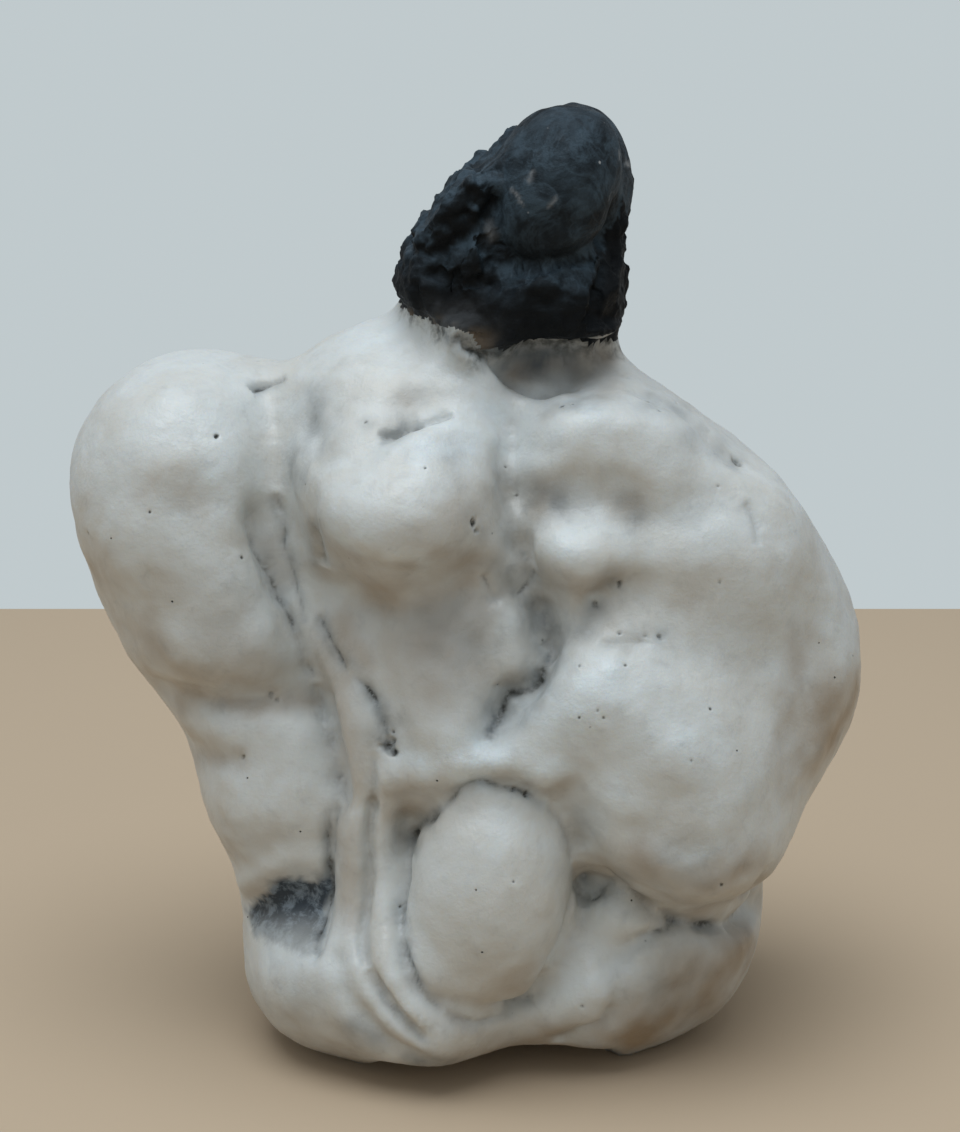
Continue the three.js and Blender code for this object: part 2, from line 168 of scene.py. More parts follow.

# Name, depth, width, grime and painted shade from 0 to 1, and the route of the crease.
CREASES = (
    ("under the ridge of the crown", 1.3, 0.7, 0.35, (
        (452, 338), (475, 352), (499, 368), (515, 382), (534, 390), (553, 387), (579, 385),
    )),
    ("joint of the left lobe and the crown", 0.7, 0.5, 0.8, (
        (250, 391), (258, 388), (270, 383), (284, 375),
    )),
    ("slot over the chest", 0.9, 0.4, 0.45, (
        (380, 435), (395, 433), (408, 428), (420, 422), (434, 418), (455, 414),
    )),
    ("dark end of the slot", 0.5, 0.4, 1.0, ((406, 427), (414, 424), (424, 421))),
    ("upper line of the long valley", 0.35, 0.3, 0.5, (
        (276, 492), (281, 520), (286, 548), (295, 578), (302, 605), (305, 622),
    )),
    ("long valley beside the left lobe", 0.6, 0.4, 0.75, (
        (250, 532), (258, 555), (272, 584), (288, 612), (298, 638), (307, 662), (313, 682),
    )),
    ("long valley lower down", 0.55, 0.4, 0.4, (
        (313, 682), (321, 708), (329, 740), (337, 768), (343, 792), (346, 810),
    )),
    ("short cavity at the edge of the chest", 0.55, 0.45, 0.45, ((317, 528), (320, 548), (324, 567))),
    ("fold below the cavity", 0.4, 0.3, 0.85, ((318, 612), (326, 628), (336, 648), (350, 672))),
    ("fold that ends in the pit", 0.5, 0.35, 0.8, (
        (350, 672), (362, 684), (374, 700), (384, 722), (390, 742),
    )),
    ("edge of the bare patch", 0.55, 0.3, 1.0, (
        (330, 808), (331, 830), (330, 850), (329, 870), (331, 890), (326, 915), (320, 935), (313, 953),
    )),
    ("first pleat", 0.65, 0.35, 0.15, (
        (374, 770), (372, 790), (370, 820), (369, 850), (368, 880), (366, 905), (364, 930), (364, 950),
        (369, 968),
    )),
    ("first pleat under the ball", 0.6, 0.4, 0.1, (
        (369, 968), (380, 990), (394, 1010), (408, 1025), (424, 1040),
    )),
    ("left side of the ball", 0.6, 0.35, 0.55, (
        (414, 832), (411, 850), (408, 872), (404, 895), (401, 918), (404, 943), (409, 964), (418, 985),
        (430, 1000), (446, 1011),
    )),
    ("dark corner over the ball", 0.65, 0.4, 1.0, (
        (441, 808), (430, 815), (420, 823), (413, 833), (412, 845),
    )),
    ("top of the ball", 0.5, 0.3, 0.6, (
        (441, 808), (451, 797), (461, 788), (476, 783), (496, 784), (513, 789), (527, 795), (546, 807),
    )),
    ("right side of the ball", 0.55, 0.35, 0.12, (
        (546, 807), (560, 820), (570, 838), (574, 862), (575, 888),
    )),
    ("lower right of the ball", 0.6, 0.4, 0.15, (
        (575, 890), (571, 912), (565, 932), (556, 952), (545, 970), (533, 987), (515, 1001),
    )),
    ("under the ball", 0.4, 0.4, 0.25, ((446, 1011), (462, 1019), (480, 1022), (500, 1015), (515, 1002))),
    ("thin line beside the ball", 0.3, 0.4, 0.4, ((503, 1001), (518, 1001), (532, 998))),
    ("dark hollow between ball and belly", 0.3, 0.3, 0.8, ((574, 886), (581, 896), (591, 899), (603, 890))),
    ("under the belly", 0.5, 0.4, 0.6, ((601, 864), (617, 879), (632, 893), (645, 903), (656, 909))),
    ("thin line under the belly", 0.7, 0.35, 0.9, (
        (656, 909), (670, 917), (686, 921), (702, 925), (722, 930),
    )),
    ("belly and foot", 0.65, 0.55, 0.1, ((722, 929), (737, 917), (750, 900), (760, 882), (769, 862))),
    ("thin line on the foot", 0.3, 0.3, 0.7, ((634, 940), (650, 932), (665, 927), (678, 919))),
    ("edge of the white mound", 0.4, 0.45, 0.15, (
        (553, 1041), (578, 1031), (603, 1021), (611, 1008), (616, 990), (624, 974),
    )),
    ("deep valley", 0.95, 0.5, 0.8, (
        (544, 640), (552, 652), (543, 666), (538, 682), (527, 690), (509, 692), (503, 706), (497, 722),
        (489, 736),
    )),
    ("dark hollow of the valley", 0.3, 0.5, 0.7, ((534, 568), (528, 580), (520, 590), (512, 597))),
    ("thin line by the valley", 0.5, 0.5, 0.5, ((482, 574), (489, 588), (497, 602))),
    ("arc on the shoulder", 0.5, 0.4, 0.35, ((741, 502), (752, 515), (758, 530), (759, 547))),
    ("line over the white belly", 0.3, 0.35, 0.3, ((598, 640), (615, 641), (632, 640), (650, 641))),
    ("long crack of the rock", 0.7, 0.35, 0.0, (
        (500, 173), (493, 200), (487, 225), (472, 247), (458, 267), (449, 285), (446, 301),
    )),
    ("crack under the dome", 0.5, 0.4, 0.0, (
        (500, 250), (508, 264), (525, 272), (548, 271), (570, 264), (592, 258),
    )),
    ("crack over the band", 0.5, 0.35, 0.0, ((449, 291), (475, 284), (500, 284), (522, 282), (540, 275))),
    ("crack beside the left block", 0.4, 0.3, 0.0, ((440, 217), (452, 230), (462, 247), (456, 264))),
    ("edge of the rock's recess", 0.9, 0.5, 0.0, (
        (616, 196), (612, 210), (606, 227), (597, 245), (594, 262), (597, 282), (594, 301), (586, 322),
    )),
    ("crack of the left block", 0.3, 0.3, 0.0, ((413, 242), (424, 256), (440, 268), (447, 290))),
    ("crack of the upper ledge", 0.3, 0.3, 0.0, ((465, 180), (469, 196), (466, 212), (469, 228))),
)

# Name, depth, radius, grime and painted shade from 0 to 1, and the places of the pits of that kind.
PITS = (
    ("pit in the left lobe", 0.25, 0.19, 1.0, ((217, 436),)),
    ("pin", 0.15, 0.14, 1.0, ((150, 512),)),
    ("pin", 0.1, 0.14, 0.7, ((242, 557), (505, 467), (497, 684))),
    ("pin", 0.1, 0.14, 0.8, (
        (366, 422), (625, 665), (578, 665), (710, 709), (691, 760), (722, 886), (645, 941), (582, 1007),
        (718, 487), (720, 582), (387, 550), (88, 533),
    )),
    ("pin", 0.1, 0.14, 1.0, ((425, 468),)),
    ("pit of the chest", 0.3, 0.32, 1.0, ((474, 523),)),
    ("pit of the chest", 0.25, 0.26, 1.0, ((477, 531),)),
    ("pit", 0.3, 0.26, 1.0, ((620, 585),)),
    ("pit", 0.25, 0.26, 1.0, ((596, 604),)),
    ("pit", 0.2, 0.22, 1.0, ((660, 637),)),
    ("pit", 0.15, 0.16, 0.8, ((619, 632),)),
    ("pit", 0.15, 0.19, 0.6, ((645, 637),)),
    ("pit of the shoulder", 0.45, 0.5, 0.8, ((738, 461),)),
    ("pit beside the saddle", 0.55, 0.6, 0.75, ((388, 745),)),
    ("pit beside the saddle", 0.35, 0.32, 0.9, ((395, 752),)),
    ("pit over the ball", 0.25, 0.22, 1.0, ((513, 789),)),
    ("pit over the ball", 0.2, 0.19, 1.0, ((526, 794),)),
    ("pit", 0.15, 0.16, 0.9, ((408, 882),)),
    ("pit", 0.15, 0.16, 1.0, ((401, 907),)),
    ("pit", 0.1, 0.14, 1.0, ((513, 882),)),
    ("pit", 0.15, 0.26, 0.8, ((270, 695),)),
    ("pit", 0.15, 0.22, 0.8, ((277, 700),)),
    ("pit", 0.15, 0.19, 0.8, ((319, 707),)),
    ("pit", 0.15, 0.22, 0.7, ((243, 757),)),
    ("pit", 0.1, 0.19, 0.6, ((258, 360),)),
    ("pit", 0.1, 0.16, 0.7, ((299, 358),)),
    ("pit", 0.15, 0.19, 0.7, ((393, 732),)),
    ("specks of the brow", 0.15, 0.19, 0.7, ((562, 405), (573, 404))),
    ("specks of the neck", 0.15, 0.22, 0.8, ((649, 402),)),
    ("specks of the neck", 0.15, 0.22, 0.6, ((661, 411),)),
    ("specks of the neck", 0.15, 0.19, 0.6, ((677, 404),)),
    ("pin", 0.1, 0.14, 0.9, ((517, 495), (543, 640), (580, 717), (598, 711), (603, 718))),
)

# Name, rise (below zero for a hollow), radius and place.
SWELLINGS = (
    ("recess under the rock", -1.8, 2.2, (534, 359)),
    ("recess under the rock, right", -1.6, 2.4, (574, 359)),
    ("recess under the rock, left", -1.2, 1.3, (485, 339)),
    ("recess under the rock, end", -1.6, 1.6, (612, 350)),
    ("ridge of the crown", 0.5, 1.2, (461, 352)),
    ("saddle, right", 0.7, 1.4, (546, 777)),
    ("ridge of the crown, low", 0.5, 1.2, (494, 373)),
    ("left lobe, shoulder", 0.35, 3.2, (180, 395)),
    ("left lobe, shoulder", -0.3, 2.6, (232, 420)),
    ("left lobe, hollow", -0.4, 2.6, (190, 500)),
    ("left lobe, side", 0.35, 3.0, (130, 540)),
    ("left lobe, middle", 0.45, 2.8, (225, 590)),
    ("left lobe, middle", 0.35, 2.2, (262, 640)),
    ("left lobe, low", 0.4, 3.0, (240, 655)),
    ("left lobe, hollow", -0.3, 2.4, (165, 610)),
    ("left lobe, small bulge", 0.45, 1.8, (225, 728)),
    ("crown", 0.4, 3.2, (350, 370)),
    ("crown, right slope", 0.35, 2.4, (450, 385)),
    ("crown, hollow", -0.5, 2.4, (315, 420)),
    ("crown, hollow over the slot", -0.3, 1.8, (412, 408)),
    ("chest, bulge", 0.8, 3.4, (385, 530)),
    ("chest, right", 0.4, 2.0, (492, 556)),
    ("chest, right", 0.3, 1.8, (470, 480)),
    ("chest, left", 0.3, 2.0, (335, 500)),
    ("column, hollow", -0.8, 2.6, (370, 610)),
    ("column, hollow", -0.5, 2.4, (435, 610)),
    ("column, mound", 0.4, 2.2, (440, 680)),
    ("column, right", 0.3, 1.8, (480, 620)),
    ("shoulder", 0.4, 2.0, (680, 490)),
    ("shoulder", 0.4, 2.0, (725, 530)),
    ("shoulder", 0.35, 2.0, (690, 560)),
    ("shoulder, hollow", -0.4, 1.6, (700, 455)),
    ("hollow by the pits", -0.6, 1.8, (612, 600)),
    ("hollow by the pits", -0.4, 1.6, (650, 600)),
    ("belly", 0.6, 2.4, (675, 750)),
    ("belly", 0.5, 2.0, (622, 805)),
    ("belly, top", 0.3, 2.4, (700, 690)),
    ("foot, mound", 0.4, 2.2, (665, 955)),
    ("foot, hollow", -0.5, 1.6, (612, 950)),
)

# ---------------------------------------------------------------- forms of the dark rock

# The contact of dark rock and white stone, from left to right: across in steps, height in millimetres.
CONTACT_STEPS = (388, 403, 440, 480, 505, 530, 550, 600, 623)
CONTACT_HEIGHT = (62.9, 62.8, 62.6, 61.8, 61.5, 61.1, 61.2, 61.3, 61.5)

# The rounded forms: centre, radii, turn in degrees.
DOMES = (
    ((6.8, -2.4, 73.1), (5.2, 6.3, 7.3), (0, 22, 0)),
    ((7.6, 2.0, 71.6), (5.6, 5.6, 8.2), (0, 14, 0)),
)

# The broken forms: name, centre, half sizes, turn in degrees, seed of the knocked off corners.
CHUNKS = (
    ("slab behind the dome", (10.0, 2.0, 68.2), (2.6, 3.8, 6.6), (4, 6, -8), 3),
    ("upper left ledge", (2.2, -0.6, 73.0), (4.3, 4.4, 2.3), (0, -43, 8), 8),
    ("middle left ledge", (-0.5, -2.0, 70.6), (3.6, 4.6, 2.4), (8, -52, -4), 5),
    ("left block", (-2.9, -1.8, 65.9), (2.7, 4.4, 3.1), (6, 14, 10), 7),
    ("wedge in the corner", (-0.4, -5.0, 67.4), (1.8, 1.9, 2.2), (20, -35, 15), 4),
    ("bridge under the dome", (2.6, -3.6, 68.4), (2.2, 2.4, 2.2), (-10, -40, 25), 21),
    ("band under the dome", (4.9, -2.8, 64.5), (5.6, 5.2, 2.7), (4, -8, 4), 11),
    ("right end of the band", (9.8, -0.4, 64.2), (2.7, 4.8, 3.1), (0, 8, -10), 6),
    ("low left foot", (-0.4, -2.8, 64.6), (3.4, 4.0, 2.3), (4, 12, -8), 9),
    ("back ledge", (1.6, 3.4, 66.8), (4.0, 3.2, 4.4), (-8, -30, 8), 12),
    ("back block", (7.0, 5.0, 66.2), (4.4, 2.8, 4.2), (10, 6, 12), 15),
)
KNOCKED_OFF = 10  # corners cut from each chunk
CUT_NEAREST, CUT_FARTHEST = 0.66, 0.86  # how far out those cuts stand, against the chunk's own reach
DOME_MELT, CHUNK_MELT, ROCK_MELT = 1.2, 0.2, 0.3  # fillets: dome to dome, chunk to chunk, dome to chunk
FACETS = ((0.8, 3.2, 33), (0.5, 1.5, 34))  # strength, size and seed of the flat facets
FACET_LEAN = 0.22  # how steeply a facet leans
BLANK_CENTRE = (0.0048, 0.0, 0.0690)  # metres
BLANK_RADIUS = 13.0
OLD_KNOB_SUNK = 2.2  # how far the solid's plain knob is drawn in

# ---------------------------------------------------------------- the front edge and the underside

UNDERCUT_REACH = 7.0
UNDERCUT_HEIGHT = 3.0
UNDERCUT_ENDS = (-9.0, -4.5, 8.5, 13.5)  # across: where it starts, is full, is full still, and ends
LEVELLED = 0.3  # what lies lower than this stands on the floor

# ---------------------------------------------------------------- settings a user would change


class StoneShape(bpy.types.PropertyGroup):
    """Sizes of the carving."""

    skin: FloatProperty(
        name="Skin", description="Edge length of the mesh on the plain skin", default=0.52 * MM,
        unit="LENGTH",
    )
    crease_depth: FloatProperty(
        name="Crease depth", description="Depth of the creases against their plain depth", default=1.0,
        subtype="FACTOR", min=0.0, soft_max=2.0,
    )
    pit_depth: FloatProperty(
        name="Pit depth", description="Depth of the pits against their plain depth", default=1.0,
        subtype="FACTOR", min=0.0, soft_max=2.0,
    )
    waves: FloatProperty(
        name="Waves", description="Height of the soft waves of the white skin", default=0.22 * MM,
        unit="LENGTH",
    )
    rock_grain: FloatProperty(
        name="Rock grain", description="Height of the grain of the dark rock", default=0.16 * MM,
        unit="LENGTH",
    )


def colour(name, about, value):
    """A colour that a user can change."""
    return FloatVectorProperty(name=name, description=about, subtype="COLOR", default=value)


class StoneColours(bpy.types.PropertyGroup):
    """Colours of the stone."""

    white: colour("White", "Clean waxy stone", (0.67, 0.715, 0.725))
    cream: colour("Cream", "Stone with a little iron in it", (0.585, 0.575, 0.53))
    # frost: blue-white sugary stone, and also painted light on the lit tops of the mounds
    frost_and_light: colour("Frost", "Blue-white sugary stone", (0.72, 0.81, 0.86))
    # smoke: real grey veins, and also the colour of painted shade in creases, recesses and the gap under the
    # front edge
    smoke_and_shade: colour("Smoke", "Grey veins under the skin", (0.085, 0.105, 0.12))
    # stain: real iron stain, and also the colour of painted shade on undersides and in hollows
    stain_and_shade: colour("Stain", "Brown stain in the hollows", (0.32, 0.245, 0.165))
    # grime: real dirt and pinholes, and also the colour of painted shade in creases, pits and under the dark
    # rock
    grime: colour("Grime", "Dirt in the creases and pits", (0.035, 0.038, 0.033))
    patch: colour("Patch", "Bare blue-grey patch", (0.030, 0.045, 0.062))
    patch_crystals: colour("Patch crystals", "Pale crystals on the bare patch", (0.40, 0.49, 0.57))
    rock: colour("Rock", "Dark rock", (0.005, 0.007, 0.009))
    # the bloom's mask also paints light: lighter where the rock faces up, darker low down and in its recess
    rock_haze: colour("Rock haze", "Pale bloom on the dark rock", (0.046, 0.072, 0.096))
    rock_crystals: colour("Rock crystals", "Pale crystals on the dark rock", (0.30, 0.32, 0.34))
    crust: colour("Crust", "Brown crust where rock and stone meet", (0.16, 0.13, 0.10))


class StageSettings(bpy.types.PropertyGroup):
    """The floor, the wall and the light."""

    floor: colour("Floor", "Colour of the floor", (0.55, 0.44, 0.32))
    wall: colour("Wall", "Colour of the wall behind the floor", (0.53, 0.59, 0.61))
    overhead: FloatProperty(
        name="Overhead light", description="Power of the soft light overhead", default=1.65, unit="POWER",
    )
    air: FloatProperty(
        name="Air light", description="Strength of the light from all round", default=0.375, min=0.0,
    )


# ---------------------------------------------------------------- noise and small geometry


def lattice(corners, seed):
    """A number from -1 to 1 for each whole-numbered corner, the same in every run."""
    i, j, k = (corners[..., n].astype(np.uint32) for n in range(3))
    h = i * np.uint32(374761393) + j * np.uint32(668265263) + k * np.uint32(2147483647)
    h = h + np.uint32(seed * 7919)
    h = (h ^ (h >> np.uint32(13))) * np.uint32(1274126177)
    h = (h ^ (h >> np.uint32(16))) * np.uint32(2246822519)
    return (h ^ (h >> np.uint32(15))).astype(np.float64) / 2147483647.5 - 1.0


def noise(points, wave, seed):
    """Smooth noise from about -1 to 1 whose waves are about one wave long."""
    scaled = points / wave + 1000.0
    low = np.floor(scaled).astype(np.int64)
    t = scaled - low
    t = t * t * t * (t * (t * 6 - 15) + 10)
    total = 0.0
    for corner in range(8):
        bits = np.array([corner & 1, (corner >> 1) & 1, (corner >> 2) & 1])
        share = np.prod(np.where(bits, t, 1 - t), axis=1)
        total = total + share * lattice(low + bits, seed)
    return total * 1.4


def fractal(points, wave, seed, octaves=3):
    """Noise with finer noise on it."""
    total, height = 0.0, 1.0
    for octave in range(octaves):
        total = total + height * noise(points, wave / 2**octave, seed + octave)
        height *= 0.5
    return total / 1.6


def ramp(values, low, high):
    """0 below low, 1 above high, and an even S between. Low may be the greater of the two."""
    t = np.clip((values - low) / (high - low), 0.0, 1.0)
    return t * t * (3 - 2 * t)


def turned(degrees):
    """The matrix of a turn about X, then Y, then Z."""
    x, y, z = np.radians(degrees)
    about_x = np.array([[1, 0, 0], [0, math.cos(x), -math.sin(x)], [0, math.sin(x), math.cos(x)]])
    about_y = np.array([[math.cos(y), 0, math.sin(y)], [0, 1, 0], [-math.sin(y), 0, math.cos(y)]])
    about_z = np.array([[math.cos(z), -math.sin(z), 0], [math.sin(z), math.cos(z), 0], [0, 0, 1]])
    return about_z @ about_y @ about_x


def melt(a, b, softness):
    """The nearer of two surfaces, with a fillet where they meet."""
    h = np.maximum(softness - np.abs(a - b), 0) / softness
    return np.minimum(a, b) - h * h * softness / 4


# ---------------------------------------------------------------- the line of sight


def sight_axes():
    """Right, up and forward of the sight."""
    rise = math.radians(SIGHT_HEIGHT_ANGLE)
    forward = np.array([0.0, math.cos(rise), -math.sin(rise)])
    up = np.array([0.0, math.sin(rise), math.cos(rise)])
    return np.array([1.0, 0.0, 0.0]), up, forward


def eye_place():
    """Where the eye is."""
    return SIGHT_CENTRE - SIGHT_DISTANCE * sight_axes()[2]


def seen_at(points):
    """Where points stand on the sight plane, as (across, up)."""
    right, up, forward = sight_axes()
    ray = points - eye_place()
    far = ray @ forward
    return np.stack([ray @ right, ray @ up], axis=1) * (SIGHT_DISTANCE / far)[:, None]


def on_sight(places):
    """Turns places counted in steps into millimetres across and up from the centre of the sight."""
    return (np.array(places, float) - MIDDLE_STEP) * (1, -1) / STEPS_PER_MM


class Surface:
    """The stone's mesh as arrays in millimetres, with what is needed to find places on it."""

    def __init__(self, mesh):
        self.mesh = mesh
        self.read()

    def read(self):
        """Takes the points, edges and normals from the mesh."""
        mesh = self.mesh
        count = len(mesh.vertices)
        flat = np.empty(count * 3, np.float32)
        mesh.vertices.foreach_get("co", flat)
        self.points = flat.reshape(-1, 3).astype(np.float64) / MM
        pairs = np.empty(len(mesh.edges) * 2, np.int32)
        mesh.edges.foreach_get("vertices", pairs)
        self.edges = pairs.reshape(-1, 2)
        self.degree = np.bincount(self.edges.ravel(), minlength=count).astype(np.float64)
        self.find_normals()

    def write(self):
        """Gives the points back to the mesh."""
        self.mesh.vertices.foreach_set("co", (self.points * MM).astype(np.float32).ravel())
        self.mesh.update()

    def find_normals(self):
        """Writes the points and reads the normals that they give."""
        self.write()
        flat = np.empty(len(self.points) * 3, np.float32)
        self.mesh.vertices.foreach_get("normal", flat)
        self.normals = flat.reshape(-1, 3).astype(np.float64)

    def tree(self):
        """The surface in a form that lines of sight can be cast on."""
        faces = [tuple(p.vertices) for p in self.mesh.polygons]
        return BVHTree.FromPolygons([Vector(p) for p in self.points], faces)

    def spread(self, values):
        """The mean of each vertex's neighbours."""
        a, b = self.edges.T
        columns = values.reshape(len(values), -1)
        total = np.stack([
            np.bincount(a, weights=column[b], minlength=len(values))
            + np.bincount(b, weights=column[a], minlength=len(values))
            for column in columns.T
        ], axis=1)
        return (total / self.degree[:, None]).reshape(values.shape)

    def even_out(self, rounds, share=0.5, where=None):
        """Draws vertices towards the mean of their neighbours."""
        for _ in range(rounds):
            pull = (self.spread(self.points) - self.points) * share
            self.points += pull if where is None else pull * where[:, None]

    def hollows(self, rounds):
        """How far each vertex lies below its wider surroundings."""
        blurred = self.points
        for _ in range(rounds):
            blurred = blurred + (self.spread(blurred) - blurred) * 0.8
        return ((blurred - self.points) * self.normals).sum(axis=1)

    def carve(self, height):
        """Moves each vertex along its normal by its own height."""
        self.points += self.normals * height[:, None]


def cast(tree, places):
    """Carries places on the sight plane onto the surface."""
    right, up, _ = sight_axes()
    eye = eye_place()
    found = []
    for across, rise in places:
        target = SIGHT_CENTRE + across * right + rise * up
        direction = Vector(target - eye).normalized()
        hit = tree.ray_cast(Vector(eye), direction)[0]
        if hit is None:
            hit = tree.find_nearest(Vector(target))[0]
        found.append(hit)
    return np.array(found)


def route(places, spacing=0.15):
    """A smooth curve on the sight plane through places, as evenly spaced points in millimetres."""
    stops = on_sight(places)
    padded = np.vstack([2 * stops[0] - stops[1], stops, 2 * stops[-1] - stops[-2]])
    line = []
    for a, b, c, d in zip(padded, padded[1:], padded[2:], padded[3:]):
        steps = max(2, int(np.linalg.norm(c - b) / spacing))
        t = np.arange(steps)[:, None] / steps
        line.append(0.5 * (2 * b + (c - a) * t + (2 * a - 5 * b + 4 * c - d) * t**2
                           + (3 * b - a - 3 * c + d) * t**3))
    return np.vstack([*line, stops[-1:]])


# ---------------------------------------------------------------- the dark rock as a field


def rounded(points, at, radii, turn):
    """Distance to an ellipsoid, negative inside."""
    local = (points - np.array(at)) @ turned(turn)
    near = np.linalg.norm(local / np.array(radii), axis=1)
    slope = np.linalg.norm(local / np.array(radii) ** 2, axis=1)
    return near * (near - 1) / np.maximum(slope, 1e-9)


def broken(points, at, half, turn, seed):
    """A box whose corners are knocked off by seeded cuts."""
    local = (points - np.array(at)) @ turned(turn)
    sizes = np.array(half)
    field = (np.abs(local) - sizes).max(axis=1)
    chance = np.random.default_rng(seed)
    for _ in range(KNOCKED_OFF):
        facing = chance.normal(size=3)
        facing /= np.linalg.norm(facing)
        reach = chance.uniform(CUT_NEAREST, CUT_FARTHEST) * np.abs(facing) @ sizes
        field = np.maximum(field, local @ facing - reach)
    return field


def chips(points, size, seed):
    """Flat facets of about a size, each leaning its own way, with small steps between them."""
    scaled = points / size + 500.0
    home = np.floor(scaled).astype(np.int64)
    nearest = np.full(len(points), 1e9)
    lean = np.zeros(len(points))
    for step in np.ndindex(3, 3, 3):
        cell = home + np.array(step) - 1
        centre = cell + 0.5 + 0.4 * np.stack([lattice(cell, seed + n) for n in (0, 100, 200)], axis=1)
        away = scaled - centre
        gap = (away**2).sum(axis=1)
        facing = np.stack([lattice(cell, seed + n) for n in (300, 400, 500)], axis=1)
        closer = gap < nearest
        lean = np.where(closer, (away * facing).sum(axis=1), lean)
        nearest = np.minimum(nearest, gap)
    return lean * size * FACET_LEAN


def rock_forms(points):
    """Distances to the smooth dome and to the broken rock round it, negative inside."""
    dome = np.full(len(points), 1e3)
    for at, radii, turn in DOMES:
        dome = melt(dome, rounded(points, at, radii, turn), DOME_MELT)
    rough = np.full(len(points), 1e3)
    for _, at, half, turn, seed in CHUNKS:
        rough = melt(rough, broken(points, at, half, turn, seed), CHUNK_MELT)
    dome = dome + 0.22 * noise(points, 4.0, seed=35) + 0.09 * fractal(points, 1.4, seed=37, octaves=2)
    rough = rough + 0.14 * fractal(points, 1.5, seed=31, octaves=2)
    for strength, size, seed in FACETS:
        rough = rough + strength * chips(points, size, seed)
    return dome, rough


def dark_rock(points):
    """Distance to the dark rock, negative inside."""
    return melt(*rock_forms(points), ROCK_MELT)


def slope_of(field, points, reach=0.02):
    """The steepest rise of a field at points, from the four corners of a small tetrahedron."""
    slope = np.zeros_like(points)
    for corner in ((1, -1, -1), (-1, -1, 1), (-1, 1, -1), (1, 1, 1)):
        ahead = np.array(corner, float)
        slope += ahead * field(points + reach * ahead)[:, None]
    return slope / (4 * reach)


def above_contact(points):
    """Height over the contact of dark rock and white stone."""
    steps = (points[:, 0] - SIGHT_CENTRE[0]) * STEPS_PER_MM + MIDDLE_STEP[0]
    return points[:, 2] - np.interp(steps, CONTACT_STEPS, CONTACT_HEIGHT)


def rock_share(points):
    """1 on the dark rock, 0 on the white stone, with an uneven edge at their contact."""
    share = np.zeros(len(points))
    high = np.flatnonzero(points[:, 2] > min(CONTACT_HEIGHT) - 1.0)
    near = points[high]
    uneven = 0.06 * fractal(near, 0.9, seed=5, octaves=2)
    touching = ramp(dark_rock(near) + uneven, 0.42, 0.2)
    share[high] = np.maximum(touching, ramp(above_contact(near) + 3 * uneven, 0.1, 0.6))
    return share


def settle(points, share, farthest):
    """Draws points straight onto the surface of the dark rock."""
    slope = slope_of(dark_rock, points)
    length = np.maximum((slope**2).sum(axis=1), 0.3)
    step = np.clip(dark_rock(points), -farthest, farthest) * share / length
    return points - slope * step[:, None]


def rock_blank():
    """The dark rock as a piece of its own: a ball drawn down onto its field."""
    bpy.ops.object.select_all(action="DESELECT")
    bpy.ops.mesh.primitive_ico_sphere_add(subdivisions=6, radius=BLANK_RADIUS * MM, location=BLANK_CENTRE)
    piece = bpy.context.object
    bpy.ops.object.transform_apply(location=True)
    surface = Surface(piece.data)
    everywhere = np.ones(len(surface.points))
    for _ in range(9):
        surface.points = settle(surface.points, everywhere, 1.5)
        surface.even_out(2)
    surface.points = settle(surface.points, everywhere, 0.6)
    surface.write()
    return piece


def sharpen_rock(surface):
    """Sets what the remesh rounded off in the dark rock back on its field."""
    near = np.flatnonzero(surface.points[:, 2] > min(CONTACT_HEIGHT) - 1)
    share = ramp(above_contact(surface.points[near]), 0.7, 1.6)
    share *= ramp(np.abs(dark_rock(surface.points[near])), 0.7, 0.4)
    everywhere = np.zeros(len(surface.points))
    everywhere[near] = share
    for _ in range(3):
        surface.even_out(1, 0.25, everywhere)
        surface.points[near] = settle(surface.points[near], share, 0.25)
    surface.even_out(1, 0.3, everywhere)


# ---------------------------------------------------------------- carving the white stone

CREASE_ROUNDING = 0.12  # radius at the bottom of a crease
GRIME_AND_SHADE_WIDTH = 0.24  # half the width of the line of grime and painted shade in a crease


def near_line(points, line, reach):
    """The vertices within reach of a line, with their distance and the nearest place along it."""
    low, high = line.min(axis=0) - reach, line.max(axis=0) + reach
    close = np.flatnonzero(((points > low) & (points < high)).all(axis=1))
    if not len(close):
        return close, np.zeros(0), np.zeros(0, int)
    gaps = np.linalg.norm(points[close][:, None] - line[None], axis=2)
    nearest = gaps.argmin(axis=1)
    return close, gaps[np.arange(len(close)), nearest], nearest


def carve_swellings(surface):
    """Raises the swellings and sinks the hollows."""
    tree = surface.tree()
    height = np.zeros(len(surface.points))
    for _, rise, radius, place in SWELLINGS:
        centre = cast(tree, on_sight([place]))[0]
        away = np.linalg.norm(surface.points - centre, axis=1) / radius
        height += rise * np.exp(-away * away)
    surface.carve(height)
    surface.find_normals()


def carve_folds(surface):
    """Raises the soft rolls and sinks the soft valleys."""
    tree = surface.tree()
    height = np.zeros(len(surface.points))
    for number, (_, rise, width, places) in enumerate(FOLDS):
        line = cast(tree, route(places, 0.3))
        close, gap, _ = near_line(surface.points, line, width * 2.6)
        uneven = 1.0 + 0.2 * noise(surface.points[close], 3.0, seed=170 + number)
        height[close] += rise * np.exp(-((gap / width) ** 2)) * uneven
    surface.carve(height)
    surface.find_normals()


def undercut_front(surface):
    """Draws the lowest edge of the front back, so that it stands clear of the floor."""
    across, depth, height = surface.points.T
    starts, full, full_still, ends = UNDERCUT_ENDS
    share = ramp(across, starts, full) * ramp(across, ends, full_still)
    share = share * ramp(height, UNDERCUT_HEIGHT, 0.4) * ramp(depth, 2.0, -13.0)
    surface.points[:, 1] += UNDERCUT_REACH * share
    surface.find_normals()


